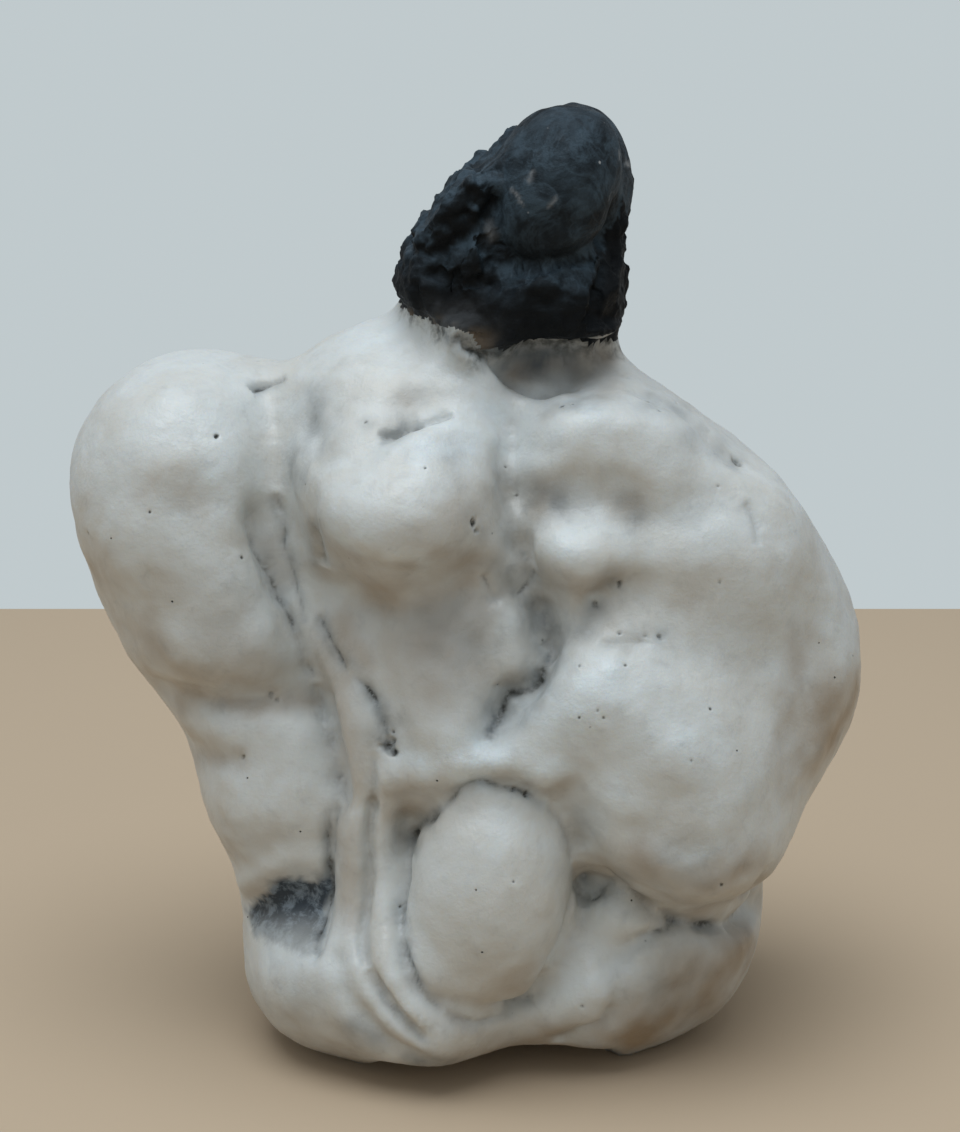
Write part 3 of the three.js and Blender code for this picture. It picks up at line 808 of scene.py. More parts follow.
def carve_creases(surface, factor):
    """Presses the creases in, and returns the grime and painted shade in them and the painted grey shade
    round them.
    """
    tree = surface.tree()
    height = np.zeros(len(surface.points))
    grime = np.zeros(len(surface.points))
    crease_shade = np.zeros(len(surface.points))
    wander = np.stack([noise(surface.points, 2.2, s) for s in (61, 62, 63)], axis=1) * 0.16
    for number, (_, depth, width, grime_and_shade_level, places) in enumerate(CREASES):
        line = cast(tree, route(places))
        along = np.linspace(0, 1, len(line))
        taper = np.sqrt(np.clip(np.minimum(along, 1 - along) * 5, 0, 1))
        close, gap, nearest = near_line(surface.points + wander, line, width * 4)
        uneven = (0.85 + 0.3 * noise(surface.points[close], 1.6, seed=70 + number)) * taper[nearest]
        press = np.exp(-(np.sqrt(gap**2 + CREASE_ROUNDING**2) - CREASE_ROUNDING) / width)
        press *= ramp(gap, width * 4, width * 2.4)
        height[close] -= depth * factor * press * uneven
        grime_and_shade_here = grime_and_shade_level * uneven
        # a thin dark line of grime and painted shade in the crease, and a wide grey painted shade round it
        grime[close] = np.maximum(grime[close], grime_and_shade_here * np.exp(-((gap / GRIME_AND_SHADE_WIDTH) ** 2)))
        crease_shade[close] = np.maximum(crease_shade[close], grime_and_shade_here * np.exp(-((gap / (0.5 + 0.5 * width)) ** 2)))
    surface.carve(height)
    surface.find_normals()
    return grime, crease_shade


def carve_pits(surface, factor):
    """Sinks the pits, and returns how dark each vertex becomes with grime and painted shade."""
    tree = surface.tree()
    height = np.zeros(len(surface.points))
    grime = np.zeros(len(surface.points))
    wander = np.stack([noise(surface.points, 0.5, s) for s in (81, 82, 83)], axis=1) * 0.17
    for _, depth, radius, grime_and_shade_level, places in PITS:
        uneven = surface.points + wander * min(1.0, radius / 0.4)
        for centre in cast(tree, on_sight(places)):
            away = np.linalg.norm(uneven - centre, axis=1) / radius
            height -= depth * factor * np.exp(-(away**2.4))
            grime = np.maximum(grime, grime_and_shade_level * np.exp(-((away * 0.95) ** 3)))
    surface.carve(height)
    surface.find_normals()
    return grime


# ---------------------------------------------------------------- marks that are only colour, painted light and shade among them

HOLLOW_ROUNDS = 36  # how widely the surroundings are blurred to find the hollows

# The outline of the bare patch, in steps on the sight plane.
PATCH = (
    (243, 905), (269, 890), (285, 876), (302, 871), (330, 875), (331, 895),
    (325, 930), (313, 958), (292, 954), (250, 930),
)

# Soft marks: strength, width and the route or the one place, both in steps on the sight plane.
# Grey smudges under the skin, and painted shade in hollows, in the recess under the dark rock and in the gap
# under the front edge.
SMUDGES_AND_SHADE = (
    (0.22, 5, ((373, 765), (370, 850), (363, 930), (368, 968), (394, 1012), (424, 1038))),
    (0.25, 5, ((331, 812), (331, 890), (318, 950))),
    (0.42, 11, ((318, 395), (312, 430), (300, 460), (298, 480))),
    (0.28, 15, ((330, 430), (318, 455))),
    (0.34, 6, ((275, 500), (282, 530), (288, 560), (294, 590), (302, 620))),
    (0.36, 6, ((258, 550), (272, 585), (290, 620), (302, 650), (312, 690), (322, 720))),
    (0.22, 19, ((262, 540), (280, 590))),
    (0.38, 8, ((316, 520), (320, 560))),
    (0.38, 8, ((322, 620), (340, 655), (355, 680))),
    (0.55, 11, ((365, 690), (385, 715), (395, 745))),
    (0.6, 8, ((386, 738), (392, 750))),
    (0.35, 22, ((388, 735),)),
    (0.25, 8, ((335, 720), (340, 800), (335, 870))),
    (0.62, 10, ((522, 560), (522, 578), (512, 596))),
    (0.5, 28, ((522, 585), (540, 620))),
    (0.3, 14, ((495, 578), (490, 565))),
    (0.5, 18, ((548, 628), (552, 660))),
    (0.85, 8, ((545, 655), (540, 675), (530, 688), (508, 695), (500, 712), (490, 732))),
    (0.5, 24, ((545, 650), (528, 690), (497, 715))),
    (0.4, 15, ((570, 628), (597, 608))),
    (0.34, 16, ((500, 478), (512, 520), (515, 545))),
    (0.5, 20, ((530, 505), (560, 503))),
    (0.48, 18, ((622, 505), (635, 520))),
    (0.25, 10, ((470, 520), (480, 535))),
    (0.4, 12, ((615, 582), (600, 600))),
    (0.3, 10, ((640, 632), (660, 637))),
    (0.45, 9, ((560, 402), (575, 405))),
    (0.3, 16, ((545, 405), (600, 400))),
    (0.36, 11, ((652, 400), (680, 410))),
    (0.22, 14, ((690, 432),)),
    (0.5, 9, ((735, 462),)),
    (0.25, 14, ((715, 450),)),
    (0.25, 6, ((745, 505), (757, 545))),
    (0.6, 9, ((412, 418), (400, 430), (390, 434))),
    (0.26, 18, ((415, 400), (395, 430))),
    (0.3, 9, ((370, 425),)),
    (0.28, 14, ((455, 450), (450, 480))),
    (0.5, 7, ((438, 813), (419, 829), (412, 850))),
    (0.28, 7, ((455, 790), (490, 783), (525, 792))),
    (0.22, 7, ((405, 890), (402, 930), (408, 960))),
    (0.65, 6, ((576, 885), (588, 897), (600, 892))),
    (0.25, 14, ((575, 870), (605, 900))),
    (0.38, 10, ((615, 880), (650, 905))),
    (0.32, 7, ((655, 912), (700, 925))),
    (0.28, 11, ((655, 935), (630, 955))),
    (0.4, 12, ((350, 1028), (372, 1040))),
    (0.25, 18, ((585, 820), (575, 850))),
    # painted shadow in the recess under the dark rock, in this and the next mark
    (0.98, 22, ((487, 345), (529, 359), (567, 357))),
    (0.6, 16, ((452, 333), (499, 359), (590, 359))),
    (0.34, 54, ((459, 631),)),
    (0.26, 38, ((683, 865),)),
    # painted shadow in the gap under the front edge
    (0.8, 12, ((405, 1066), (468, 1073), (527, 1071), (600, 1059))),
    (0.12, 40, ((709, 512),)),
    (0.2, 35, ((292, 995),)),
    (0.28, 50, ((663, 986),)),
    (0.15, 60, ((240, 620),)),
)
# Warm stain, and painted shade on undersides, in hollows, low down and in the recess under the dark rock.
STAINS_AND_SHADE = (
    (0.55, 20, ((95, 570), (150, 650), (175, 705))),
    (0.5, 12, ((145, 610),)),
    (0.6, 15, ((170, 692), (240, 698), (310, 702))),
    (0.42, 11, ((185, 752), (235, 761))),
    (0.35, 18, ((265, 540), (280, 565))),
    (0.42, 22, ((350, 620), (362, 665))),
    (0.55, 24, ((365, 592), (430, 597), (462, 583))),
    (0.3, 40, ((400, 560), (460, 560))),
    (0.3, 40, ((470, 520),)),
    (0.35, 40, ((350, 640),)),
    (0.45, 36, ((420, 650), (465, 610), (440, 690))),
    (0.35, 14, ((320, 640), (340, 700), (350, 760), (352, 850), (354, 930))),
    (0.8, 20, ((545, 503),)),
    (0.5, 19, ((622, 507),)),
    # painted shadow in the recess under the dark rock
    (0.95, 20, ((515, 365), (565, 362), (600, 360))),
    (0.3, 21, ((449, 991), (500, 998), (540, 975))),
    (0.4, 13, ((420, 985), (440, 1010), (480, 1030))),
    # painted shade on the low right foot
    (0.95, 35, ((627, 1036), (686, 1005), (736, 954))),
    (0.42, 16, ((770, 870), (760, 900))),
    (0.9, 28, ((818, 754), (844, 700))),
    (0.35, 26, ((222, 642), (262, 666))),
    (0.4, 18, ((800, 640), (795, 720), (785, 790))),
    (0.42, 14, ((640, 903), (700, 918))),
    (0.65, 26, ((644, 867), (700, 885), (744, 871))),
    # painted shade along the bottom edge
    (0.42, 16, ((300, 1042), (350, 1052), (420, 1058))),
    (0.25, 22, ((150, 480), (200, 490))),
    (0.28, 22, ((485, 480), (485, 560))),
    (0.2, 30, ((700, 600),)),
    (0.32, 13, ((405, 403),)),
)
# Blue-white sugary stone, partly painted light on the lit mounds, and pale crystals on the dark rock.
FROST_AND_LIGHT = (
    (0.6, 28, ((455, 350), (480, 390), (500, 430))),
    (0.6, 28, ((380, 350),)),
    (0.85, 22, ((345, 522), (380, 548), (410, 560))),
    (0.7, 22, ((430, 440), (470, 440))),
    (0.6, 26, ((560, 545),)),
    (0.95, 38, ((560, 720), (600, 680))),
    (1.0, 26, ((430, 760), (470, 762), (510, 765), (550, 770))),
    (0.8, 36, ((680, 750),)),
    (0.45, 28, ((612, 800),)),
    (0.5, 20, ((680, 855), (730, 855))),
    (0.5, 34, ((300, 985),)),
    (0.7, 26, ((570, 995),)),
    (0.5, 20, ((600, 910),)),
    (0.25, 26, ((690, 510),)),
    (0.75, 28, ((580, 416),)),
    (0.5, 18, ((510, 635),)),
    (0.4, 26, ((430, 940), (520, 940))),
    (0.35, 36, ((200, 400),)),
    (0.6, 38, ((198, 470), (192, 501))),
    (0.4, 6, ((485, 230), (491, 239))),
    (1.0, 2, ((624, 157), (624, 163))),
    (0.9, 2, ((512, 200), (519, 201))),
    (0.7, 2, ((545, 205), (550, 202))),
    (0.5, 2, ((527, 173), (525, 182))),
)


def soft_marks(seen, marks):
    """The strongest of the soft marks at each place on the sight plane."""
    strongest = np.zeros(len(seen))
    for strength, steps_wide, places in marks:
        width = steps_wide / STEPS_PER_MM
        line = route(places, 0.4) if len(places) > 1 else on_sight(places)
        low, high = line.min(axis=0) - 2.5 * width, line.max(axis=0) + 2.5 * width
        close = np.flatnonzero(((seen > low) & (seen < high)).all(axis=1))
        gap = np.linalg.norm(seen[close][:, None] - line[None], axis=2).min(axis=1)
        strongest[close] = np.maximum(strongest[close], strength * np.exp(-((gap / width) ** 2)))
    return strongest


def inside_outline(seen, outline):
    """Distance to an outline on the sight plane, above zero inside."""
    corners = on_sight(outline)
    best = np.full(len(seen), 1e3)
    odd = np.zeros(len(seen), bool)
    for a, b in zip(corners, np.roll(corners, -1, axis=0)):
        along = b - a
        t = np.clip(((seen - a) @ along) / (along @ along), 0, 1)
        best = np.minimum(best, np.linalg.norm(seen - a - t[:, None] * along, axis=1))
        crosses = (a[1] > seen[:, 1]) != (b[1] > seen[:, 1])
        where = a[0] + (seen[:, 1] - a[1]) * along[0] / (along[1] if along[1] else 1e-9)
        odd ^= crosses & (seen[:, 0] < where)
    return np.where(odd, best, -best)


def rock_marks(points, normals):
    """The bloom on the dark rock with painted light and shade in it, how near each place is to the rock
    (painted shade under it), and the brown crust under it.
    """
    high = np.flatnonzero(points[:, 2] > min(CONTACT_HEIGHT) - 2.5)
    dome, rough = rock_forms(points[high])
    rise = normals[high, 2]
    # Painted light and shade: the bloom is lighter on faces that turn up, and on the rough rock it is darker
    # low down and in the recess at the right.
    dome_light_share = ramp(rise, -1.2, 0.4) * (1.1 - 0.5 * ramp(rise, 0.4, 0.95))
    rough_light_share = ramp(rise, -0.3, 0.7) * ramp(above_contact(points[high]), 2.0, 6.5)
    bloom = np.zeros(len(points))
    bloom[high] = np.where(dome < rough, dome_light_share, rough_light_share * ramp(points[high, 0], 11.5, 9.0))
    touching = np.zeros(len(points))
    # nearness to the rock, used as painted shade in the recess under it
    touching[high] = ramp(np.minimum(dome, rough), 2.8, 0.3)
    crust = ramp(above_contact(points), 1.2, 0.0)
    crust = crust * ramp(fractal(points, 1.2, seed=41), -0.1, 0.5) * ramp(points[:, 0], 3.0, 0.0)
    return bloom, touching, crust


def white_marks(surface, crease_shade):
    """The bare patch, stain, smoke and frost of the white stone, with painted shade in the stain and smoke
    and painted light in the frost.
    """
    points, normals = surface.points, surface.normals
    seen = seen_at(points)
    wander = np.stack([fractal(points, 3.2, seed, 4) for seed in (11, 12)], axis=1)
    warped = seen + 0.9 * wander
    toward_eye = eye_place() - points
    facing = (normals * toward_eye).sum(axis=1) / np.linalg.norm(toward_eye, axis=1)
    front = ramp(facing, -0.1, 0.15)
    patch = ramp(inside_outline(warped, PATCH), -0.25, 0.35) * front
    patch *= 1 - 0.65 * ramp(seen[:, 1], -28.5, -33.0)
    hollow = surface.hollows(HOLLOW_ROUNDS)
    # Painted shade: faces that turn down, and the hollows, get the warm stain colour on top of the listed
    # stain.
    below = ramp(-normals[:, 2], 0.0, 0.7)
    mottle = 0.8 + 0.4 * fractal(points, 3.5, seed=21)
    # Frost: partly blue-white sugary stone, partly painted light on the lit mounds.
    frost_and_light = soft_marks(warped, FROST_AND_LIGHT) * front * (0.8 + 0.5 * fractal(points, 2.5, seed=23))
    stain_and_shade = np.maximum(soft_marks(warped, STAINS_AND_SHADE) * front, 0.6 * below)
    stain_and_shade = np.maximum(stain_and_shade, ramp(hollow, 0.1, 0.7) * 0.2) * mottle
    stain_and_shade = stain_and_shade * (1 - 0.85 * ramp(frost_and_light, 0.1, 0.8))
    # Grey smoke: real grey veins, painted shade at the listed places, and a wide painted shade round each
    # crease.
    smoke_and_shade = soft_marks(seen + 0.5 * wander, SMUDGES_AND_SHADE) * front
    smoke_and_shade = smoke_and_shade * (0.75 + 0.5 * fractal(points, 1.4, seed=22))
    smoke_and_shade = np.maximum(smoke_and_shade, 0.55 * crease_shade)
    return {"patch": patch, "stain_and_shade": stain_and_shade, "smoke_and_shade": smoke_and_shade, "frost_and_light": frost_and_light}


def paint_marks(surface, grime, crease_shade):
    """Writes every mark as an attribute of the mesh, and gives each face its finish."""
    bloom, touching, crust = rock_marks(surface.points, surface.normals)
    marks = white_marks(surface, crease_shade)
    # near the dark rock the grime mark also takes painted shade, darkening the recess under the rock
    marks.update(grime=np.maximum(grime, 0.7 * touching), bloom=bloom, crust=crust)
    for name, values in marks.items():
        layer = surface.mesh.attributes.new(name, "FLOAT", "POINT")
        layer.data.foreach_set("value", np.clip(values, 0, 1).astype(np.float32))
    rock = rock_share(surface.points)
    for face in surface.mesh.polygons:
        face.material_index = int(rock[list(face.vertices)].mean() > 0.5)


# ---------------------------------------------------------------- the mesh


def select_only(piece):
    """Selects one piece alone and makes it the active one."""
    bpy.ops.object.select_all(action="DESELECT")
    piece.select_set(True)
    bpy.context.view_layer.objects.active = piece


def apply_modifier(piece, kind, **settings):
    """Adds a modifier with its settings and applies it."""
    modifier = piece.modifiers.new(kind.title(), kind)
    for name, value in settings.items():
        setattr(modifier, name, value)
    select_only(piece)
    bpy.ops.object.modifier_apply(modifier=modifier.name)


def copy_of_node(name, new_name):
    """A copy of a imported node's mesh with its loose triangles joined up."""
    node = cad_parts[name]
    mesh = node.data.copy()
    mesh.transform(node.matrix_world)
    mesh.name = new_name
    mesh.materials.clear()
    for layer in list(mesh.uv_layers):
        mesh.uv_layers.remove(layer)
    piece = bpy.data.objects.new(new_name, mesh)
    bpy.context.scene.collection.objects.link(piece)
    select_only(piece)
    bpy.ops.object.mode_set(mode="EDIT")
    bpy.ops.mesh.select_all(action="SELECT")
    bpy.ops.mesh.remove_doubles(threshold=0.001 * MM)
    bpy.ops.object.mode_set(mode="OBJECT")
    return piece


def refine(piece, chosen):
    """Splits the chosen faces once."""
    mesh = piece.data
    select_only(piece)
    bpy.ops.object.mode_set(mode="EDIT")
    bpy.ops.mesh.select_mode(type="FACE")
    bpy.ops.mesh.select_all(action="DESELECT")
    bpy.ops.object.mode_set(mode="OBJECT")
    mesh.polygons.foreach_set("select", chosen)
    bpy.ops.object.mode_set(mode="EDIT")
    bpy.ops.mesh.subdivide(number_cuts=1, ngon=False)
    bpy.ops.object.mode_set(mode="OBJECT")


def join_into(piece, other):
    """Adds another piece's mesh to a piece."""
    bpy.ops.object.select_all(action="DESELECT")
    other.select_set(True)
    piece.select_set(True)
    bpy.context.view_layer.objects.active = piece
    bpy.ops.object.join()


def sink_old_knob(piece):
    """Shrinks the solid's plain knob, so that the broken rock covers it."""
    surface = Surface(piece.data)
    surface.carve(-OLD_KNOB_SUNK * ramp(above_contact(surface.points), 0.2, 3.0))
    surface.write()


def face_centres(mesh):
    """The middle of each face, in millimetres."""
    flat = np.empty(len(mesh.polygons) * 3, np.float32)
    mesh.polygons.foreach_get("center", flat)
    return flat.reshape(-1, 3).astype(np.float64) / MM


FINE_BELOW_ROCK = 0.8
FINE_BESIDE_CREASE = 0.45
FINE_ROUND_PIT = 0.7
FINEST_ROUND_PIT = 0.3
FIRST_EVENING = 12  # rounds, after the remesh
LAST_EVENING = 3  # rounds, after the folds
WEIGHT_STEPS = 10
# The waves: where, size, and height against the one that is set.
WAVES = (
    ("white skin", 4.5, 1.0),
    ("white skin", 1.5, 0.35),
    ("dark rock", 1.1, 1.0),
    ("dark rock", 0.45, 0.45),
)


def refine_where_fine(piece, surface):
    """Gives the knob, the creases and the pits a finer mesh."""
    tree = surface.tree()
    centres = face_centres(piece.data)
    chosen = above_contact(centres) > -FINE_BELOW_ROCK
    for _, _, width, _, places in CREASES:
        line = cast(tree, route(places, 0.3))
        reach = FINE_BESIDE_CREASE + width * 0.5
        close, gap, _ = near_line(centres, line, reach)
        chosen[close[gap < reach]] = True
    pits = [
        (centre, radius)
        for _, _, radius, _, places in PITS
        for centre in cast(tree, on_sight(places))
    ]
    for centre, radius in pits:
        chosen |= np.linalg.norm(centres - centre, axis=1) < radius + FINE_ROUND_PIT
    refine(piece, chosen)
    centres = face_centres(piece.data)
    chosen = np.zeros(len(centres), bool)
    for centre, radius in pits:
        chosen |= np.linalg.norm(centres - centre, axis=1) < radius + FINEST_ROUND_PIT
    refine(piece, chosen)


def add_waves(piece, surface, shape):
    """Soft waves on the white skin and grain on the dark rock."""
    rock = rock_share(surface.points)
    low = ramp(surface.points[:, 2], 0.2, 2.5)
    craggy = np.zeros(len(rock))
    high = np.flatnonzero(rock > 0)
    dome, rough = rock_forms(surface.points[high])
    craggy[high] = rock[high] * ramp(rough - dome, 0.5, -0.2)
    groups = {"white skin": (1 - rock) * low, "dark rock": craggy}
    for name, weights in groups.items():
        group = piece.vertex_groups.new(name=name)
        for step in range(1, WEIGHT_STEPS + 1):
            chosen = np.flatnonzero(np.round(weights * WEIGHT_STEPS).astype(int) == step)
            group.add(chosen.tolist(), step / WEIGHT_STEPS, "REPLACE")
    for group, size, share in WAVES:
        texture = bpy.data.textures.new(f"{group} {size}", "CLOUDS")
        texture.noise_scale = size * MM
        texture.noise_depth = 1
        height = shape.waves if group == "white skin" else shape.rock_grain
        apply_modifier(
            piece, "DISPLACE", texture=texture, texture_coords="LOCAL", vertex_group=group,
            strength=2 * height * share, mid_level=0.5,
        )
        bpy.data.textures.remove(texture)
    piece.vertex_groups.clear()


def rough_out(shape):
    """The plain nodule and the dark rock, joined in one mesh."""
    piece = copy_of_node("stone", "viewing_stone")
    apply_modifier(piece, "SUBSURF", levels=1, render_levels=1)
    sink_old_knob(piece)
    join_into(piece, rock_blank())
    apply_modifier(piece, "REMESH", mode="VOXEL", voxel_size=shape.skin, use_smooth_shade=True)
    surface = Surface(piece.data)
    surface.even_out(FIRST_EVENING, 0.5, 1 - rock_share(surface.points))
    surface.find_normals()
    return piece, surface


def carve_stone(shape):
    """The whole mesh of the stone."""
    piece, surface = rough_out(shape)
    refine_where_fine(piece, surface)
    surface.read()
    sharpen_rock(surface)
    surface.find_normals()
    carve_folds(surface)
    carve_swellings(surface)
    surface.even_out(LAST_EVENING, 0.5, 1 - rock_share(surface.points))
    surface.find_normals()
    undercut_front(surface)
    grime, crease_shade = carve_creases(surface, shape.crease_depth)
    grime = np.maximum(grime, carve_pits(surface, shape.pit_depth))
    add_waves(piece, surface, shape)
    surface.read()
    low = surface.points[:, 2] < LEVELLED
    surface.points[low, 2] = 0.0
    surface.find_normals()
    paint_marks(surface, grime, crease_shade)
    select_only(piece)
    bpy.ops.object.shade_smooth()
    return piece


# ---------------------------------------------------------------- finishes


class Tree:
    """A material's nodes, added and linked in one call each."""

    def __init__(self, name):
        self.material = bpy.data.materials.new(name)
        self.material.use_nodes = True
        self.nodes = self.material.node_tree.nodes
        self.links = self.material.node_tree.links
        self.shader = self.nodes["Principled BSDF"]

    def add(self, kind, inputs=None, **settings):
        made = self.nodes.new(kind)
        for name, value in settings.items():
            setattr(made, name, value)
        for name, value in (inputs or {}).items():
            self.put(made.inputs[name], value)
        return made

    def put(self, socket, value):
        """Links a socket, or sets its value."""
        if isinstance(value, bpy.types.NodeSocket):
            self.links.new(value, socket)
        else:
            socket.default_value = value

    def mark(self, name):
        """One of the marks painted on the mesh."""
        return self.add("ShaderNodeAttribute", attribute_name=name).outputs["Fac"]

    def noise(self, size, detail=3.0, roughness=0.55, distortion=0.0):
        """Noise on object coordinates, with waves of a size in millimetres. About 0 to 1."""
        place = self.add("ShaderNodeTexCoord").outputs["Object"]
        made = self.add("ShaderNodeTexNoise", {
            "Vector": place, "Scale": 1 / (size * MM), "Detail": detail, "Roughness": roughness,
            "Distortion": distortion,
        })
        return made.outputs["Fac"]

    def cells(self, size):
        """Distance to the nearest of points scattered about a size in millimetres apart."""
        place = self.add("ShaderNodeTexCoord").outputs["Object"]
        made = self.add("ShaderNodeTexVoronoi", {"Vector": place, "Scale": 1 / (size * MM)})
        return made.outputs["Distance"]

    def ramp(self, value, low, high, to_low=0.0, to_high=1.0):
        """An even S from one value to another."""
        made = self.add("ShaderNodeMapRange", {
            "Value": value, "From Min": low, "From Max": high, "To Min": to_low, "To Max": to_high,
        }, interpolation_type="SMOOTHSTEP")
        return made.outputs["Result"]

    def math(self, operation, a, b=0.0):
        made = self.add("ShaderNodeMath", operation=operation)
        self.put(made.inputs[0], a)
        self.put(made.inputs[1], b)
        return made.outputs[0]

    def bump(self, height):
        """Relief from a height in millimetres."""
        made = self.add("ShaderNodeBump", {"Height": height, "Distance": MM, "Strength": 1.0})
        self.put(self.shader.inputs["Normal"], made.outputs["Normal"])

    def blend(self, share, a, b):
        """Two colours mixed by a share."""
        made = self.add("ShaderNodeMix", data_type="RGBA")
        self.put(made.inputs[0], share)
        for socket, value in ((made.inputs[6], a), (made.inputs[7], b)):
            self.put(socket, value if isinstance(value, bpy.types.NodeSocket) else (*value, 1.0))
        return made.outputs[2]


def white_finish(colours):
    """Waxy white stone with cream, smoke, stain, the bare patch, grime and pinholes; smoke, stain and grime
    also carry painted shade, and the frost painted light.
    """
    tree = Tree("white stone")
    frost_and_light = tree.mark("frost_and_light")
    cream = tree.ramp(tree.noise(6, 4, 0.55, 0.5), 0.40, 0.66)
    cream = tree.math("MULTIPLY", cream, tree.ramp(frost_and_light, 0.0, 1.0, 0.5, 0.05))
    white = tree.blend(cream, colours.white, colours.cream)
    # the frost mark: sugary stone and painted light
    sugary = tree.math("MULTIPLY", frost_and_light, tree.ramp(tree.noise(2.4, 4, 0.6), 0.3, 0.6))
    frosty_and_lit = tree.blend(sugary, white, colours.frost_and_light)
    # the stain mark: real stain and painted shade
    stained_and_shaded = tree.blend(tree.mark("stain_and_shade"), frosty_and_lit, colours.stain_and_shade)
    cloud = tree.ramp(tree.noise(1.9, 5, 0.62, 0.5), 0.50, 0.80)
    # the smoke mark: real grey veins and painted shade
    smoke_and_shade = tree.math("ADD", tree.math("MULTIPLY", cloud, 0.16), tree.mark("smoke_and_shade"))
    smoky_and_shaded = tree.blend(smoke_and_shade, stained_and_shaded, colours.smoke_and_shade)

    # the bare patch: blue-grey, mottled with pale crystals
    crystals = tree.ramp(tree.noise(1.3, 5, 0.68, 0.3), 0.44, 0.66)
    bare = tree.blend(tree.math("MULTIPLY", crystals, 0.48), colours.patch, colours.patch_crystals)
    patched = tree.blend(tree.mark("patch"), smoky_and_shaded, bare)

    # grime and painted shade in the creases, broken up, and a few dark pinholes
    broken_up = tree.ramp(tree.noise(0.9, 3, 0.6), 0.28, 0.72, 0.25, 1.0)
    grime = tree.math("MULTIPLY", tree.mark("grime"), broken_up)
    grimy_and_shaded = tree.blend(tree.ramp(grime, 0.05, 0.8), patched, colours.grime)
    pinned = tree.ramp(tree.noise(6, 1), 0.52, 0.56)
    pins = tree.math("MULTIPLY", tree.ramp(tree.cells(2.6), 0.045, 0.025), pinned)
    tree.put(tree.shader.inputs["Base Color"], tree.blend(pins, grimy_and_shaded, colours.grime))

    gloss = tree.ramp(tree.noise(1.6, 4, 0.6), 0.3, 0.7, 0.34, 0.50)
    dull_patch = tree.math("MULTIPLY", tree.mark("patch"), 0.7)
    tree.put(tree.shader.inputs["Roughness"], tree.math("MAXIMUM", gloss, dull_patch))
    tree.shader.inputs["Subsurface Weight"].default_value = 0.35
    tree.shader.inputs["Subsurface Radius"].default_value = (1.0, 0.8, 0.6)
    tree.shader.inputs["Subsurface Scale"].default_value = 2.0 * MM
    tree.shader.inputs["IOR"].default_value = 1.5

    # relief too fine for the mesh
    sugar = tree.math("MULTIPLY", tree.noise(0.32, 3, 0.6), 0.03)
    snow = tree.math("MULTIPLY", tree.math("MULTIPLY", tree.noise(0.7, 4, 0.65), frost_and_light), 0.12)
    skin = tree.math("ADD", sugar, tree.math("MULTIPLY", tree.noise(1.1, 4, 0.6), 0.09))
    skin = tree.math("ADD", skin, snow)
    tree.bump(tree.math("SUBTRACT", skin, tree.math("MULTIPLY", pins, 0.1)))
    return tree.material


def rock_finish(colours):
    """Rough dark rock with a pale bloom and a few white specks; the bloom is lighter where the rock faces up
    and darker low down, as painted light and shade.
    """
    tree = Tree("dark rock")
    haze = tree.ramp(tree.noise(3.6, 6, 0.65, 0.8), 0.36, 0.68, 0.18, 1.0)
    line = tree.math("ABSOLUTE", tree.math("SUBTRACT", tree.noise(4.5, 5, 0.6, 1.6), 0.5))
    veined = tree.math("ADD", haze, tree.ramp(line, 0.07, 0.0, 0.0, 0.4))
    # the bloom mask carries painted light and shade
    hazy = tree.blend(tree.math("MULTIPLY", veined, tree.mark("bloom")), colours.rock, colours.rock_haze)
    specks = tree.ramp(tree.cells(1.9), 0.09, 0.05)
    specks = tree.math("MULTIPLY", specks, tree.ramp(tree.noise(3.1, 1), 0.54, 0.58))
    specked = tree.blend(tree.math("MAXIMUM", specks, tree.mark("frost_and_light")), hazy, colours.rock_crystals)
    tree.put(tree.shader.inputs["Base Color"], tree.blend(tree.mark("crust"), specked, colours.crust))
    tree.put(tree.shader.inputs["Roughness"], tree.ramp(tree.noise(1.2, 4, 0.7), 0.3, 0.7, 0.42, 0.70))
    tree.shader.inputs["Specular IOR Level"].default_value = 0.12
    grit = tree.math("MULTIPLY", tree.noise(0.45, 5, 0.7), 0.14)
    tree.bump(tree.math("ADD", grit, tree.math("MULTIPLY", tree.noise(1.5, 4, 0.6), 0.16)))
    return tree.material


def plain_finish(name, colour, roughness):
    """A dull colour with faint, wide patches in it."""
    tree = Tree(name)
    shade = tree.ramp(tree.noise(60, 2, 0.5), 0.2, 0.8, 0.0, 0.06)
    darker = tuple(0.8 * c for c in colour)
    tree.put(tree.shader.inputs["Base Color"], tree.blend(shade, tuple(colour), darker))
    tree.shader.inputs["Roughness"].default_value = roughness
    return tree.material


# ---------------------------------------------------------------- the stage


# Metres, and the light's own colour.
FLOOR_SIZE = 3.0
FLOOR_FAR_EDGE = 0.13  # the floor ends here, and the air behind it is the wall
LIGHT_PLACE = (-0.04, -0.08, 0.50)
LIGHT_AIM = (0, 0, 0.04)
LIGHT_SIZE = 0.45
LIGHT_COLOUR = (0.95, 0.98, 1.0)
AIR_COLOUR = (0.93, 0.98, 1.0)


def add_floor(finish):
    """A flat floor under the stone that ends a little way behind it."""
    bpy.ops.object.select_all(action="DESELECT")
    bpy.ops.mesh.primitive_plane_add(size=FLOOR_SIZE, location=(0, FLOOR_FAR_EDGE - FLOOR_SIZE / 2, 0))
    floor = bpy.context.object
    floor.name = "floor"
    bpy.ops.object.transform_apply(location=True, rotation=True, scale=True)
    floor.data.materials.append(finish)


def add_light(power):
    """One wide, soft light overhead."""
    data = bpy.data.lights.new("overhead light", "AREA")
    data.shape = "DISK"
    data.size = LIGHT_SIZE
    data.energy = power
    data.color = LIGHT_COLOUR
    light = bpy.data.objects.new("overhead light", data)
    light.location = LIGHT_PLACE
    light.rotation_euler = (Vector(LIGHT_AIM) - Vector(LIGHT_PLACE)).to_track_quat("-Z", "Y").to_euler()
    bpy.context.scene.collection.objects.link(light)


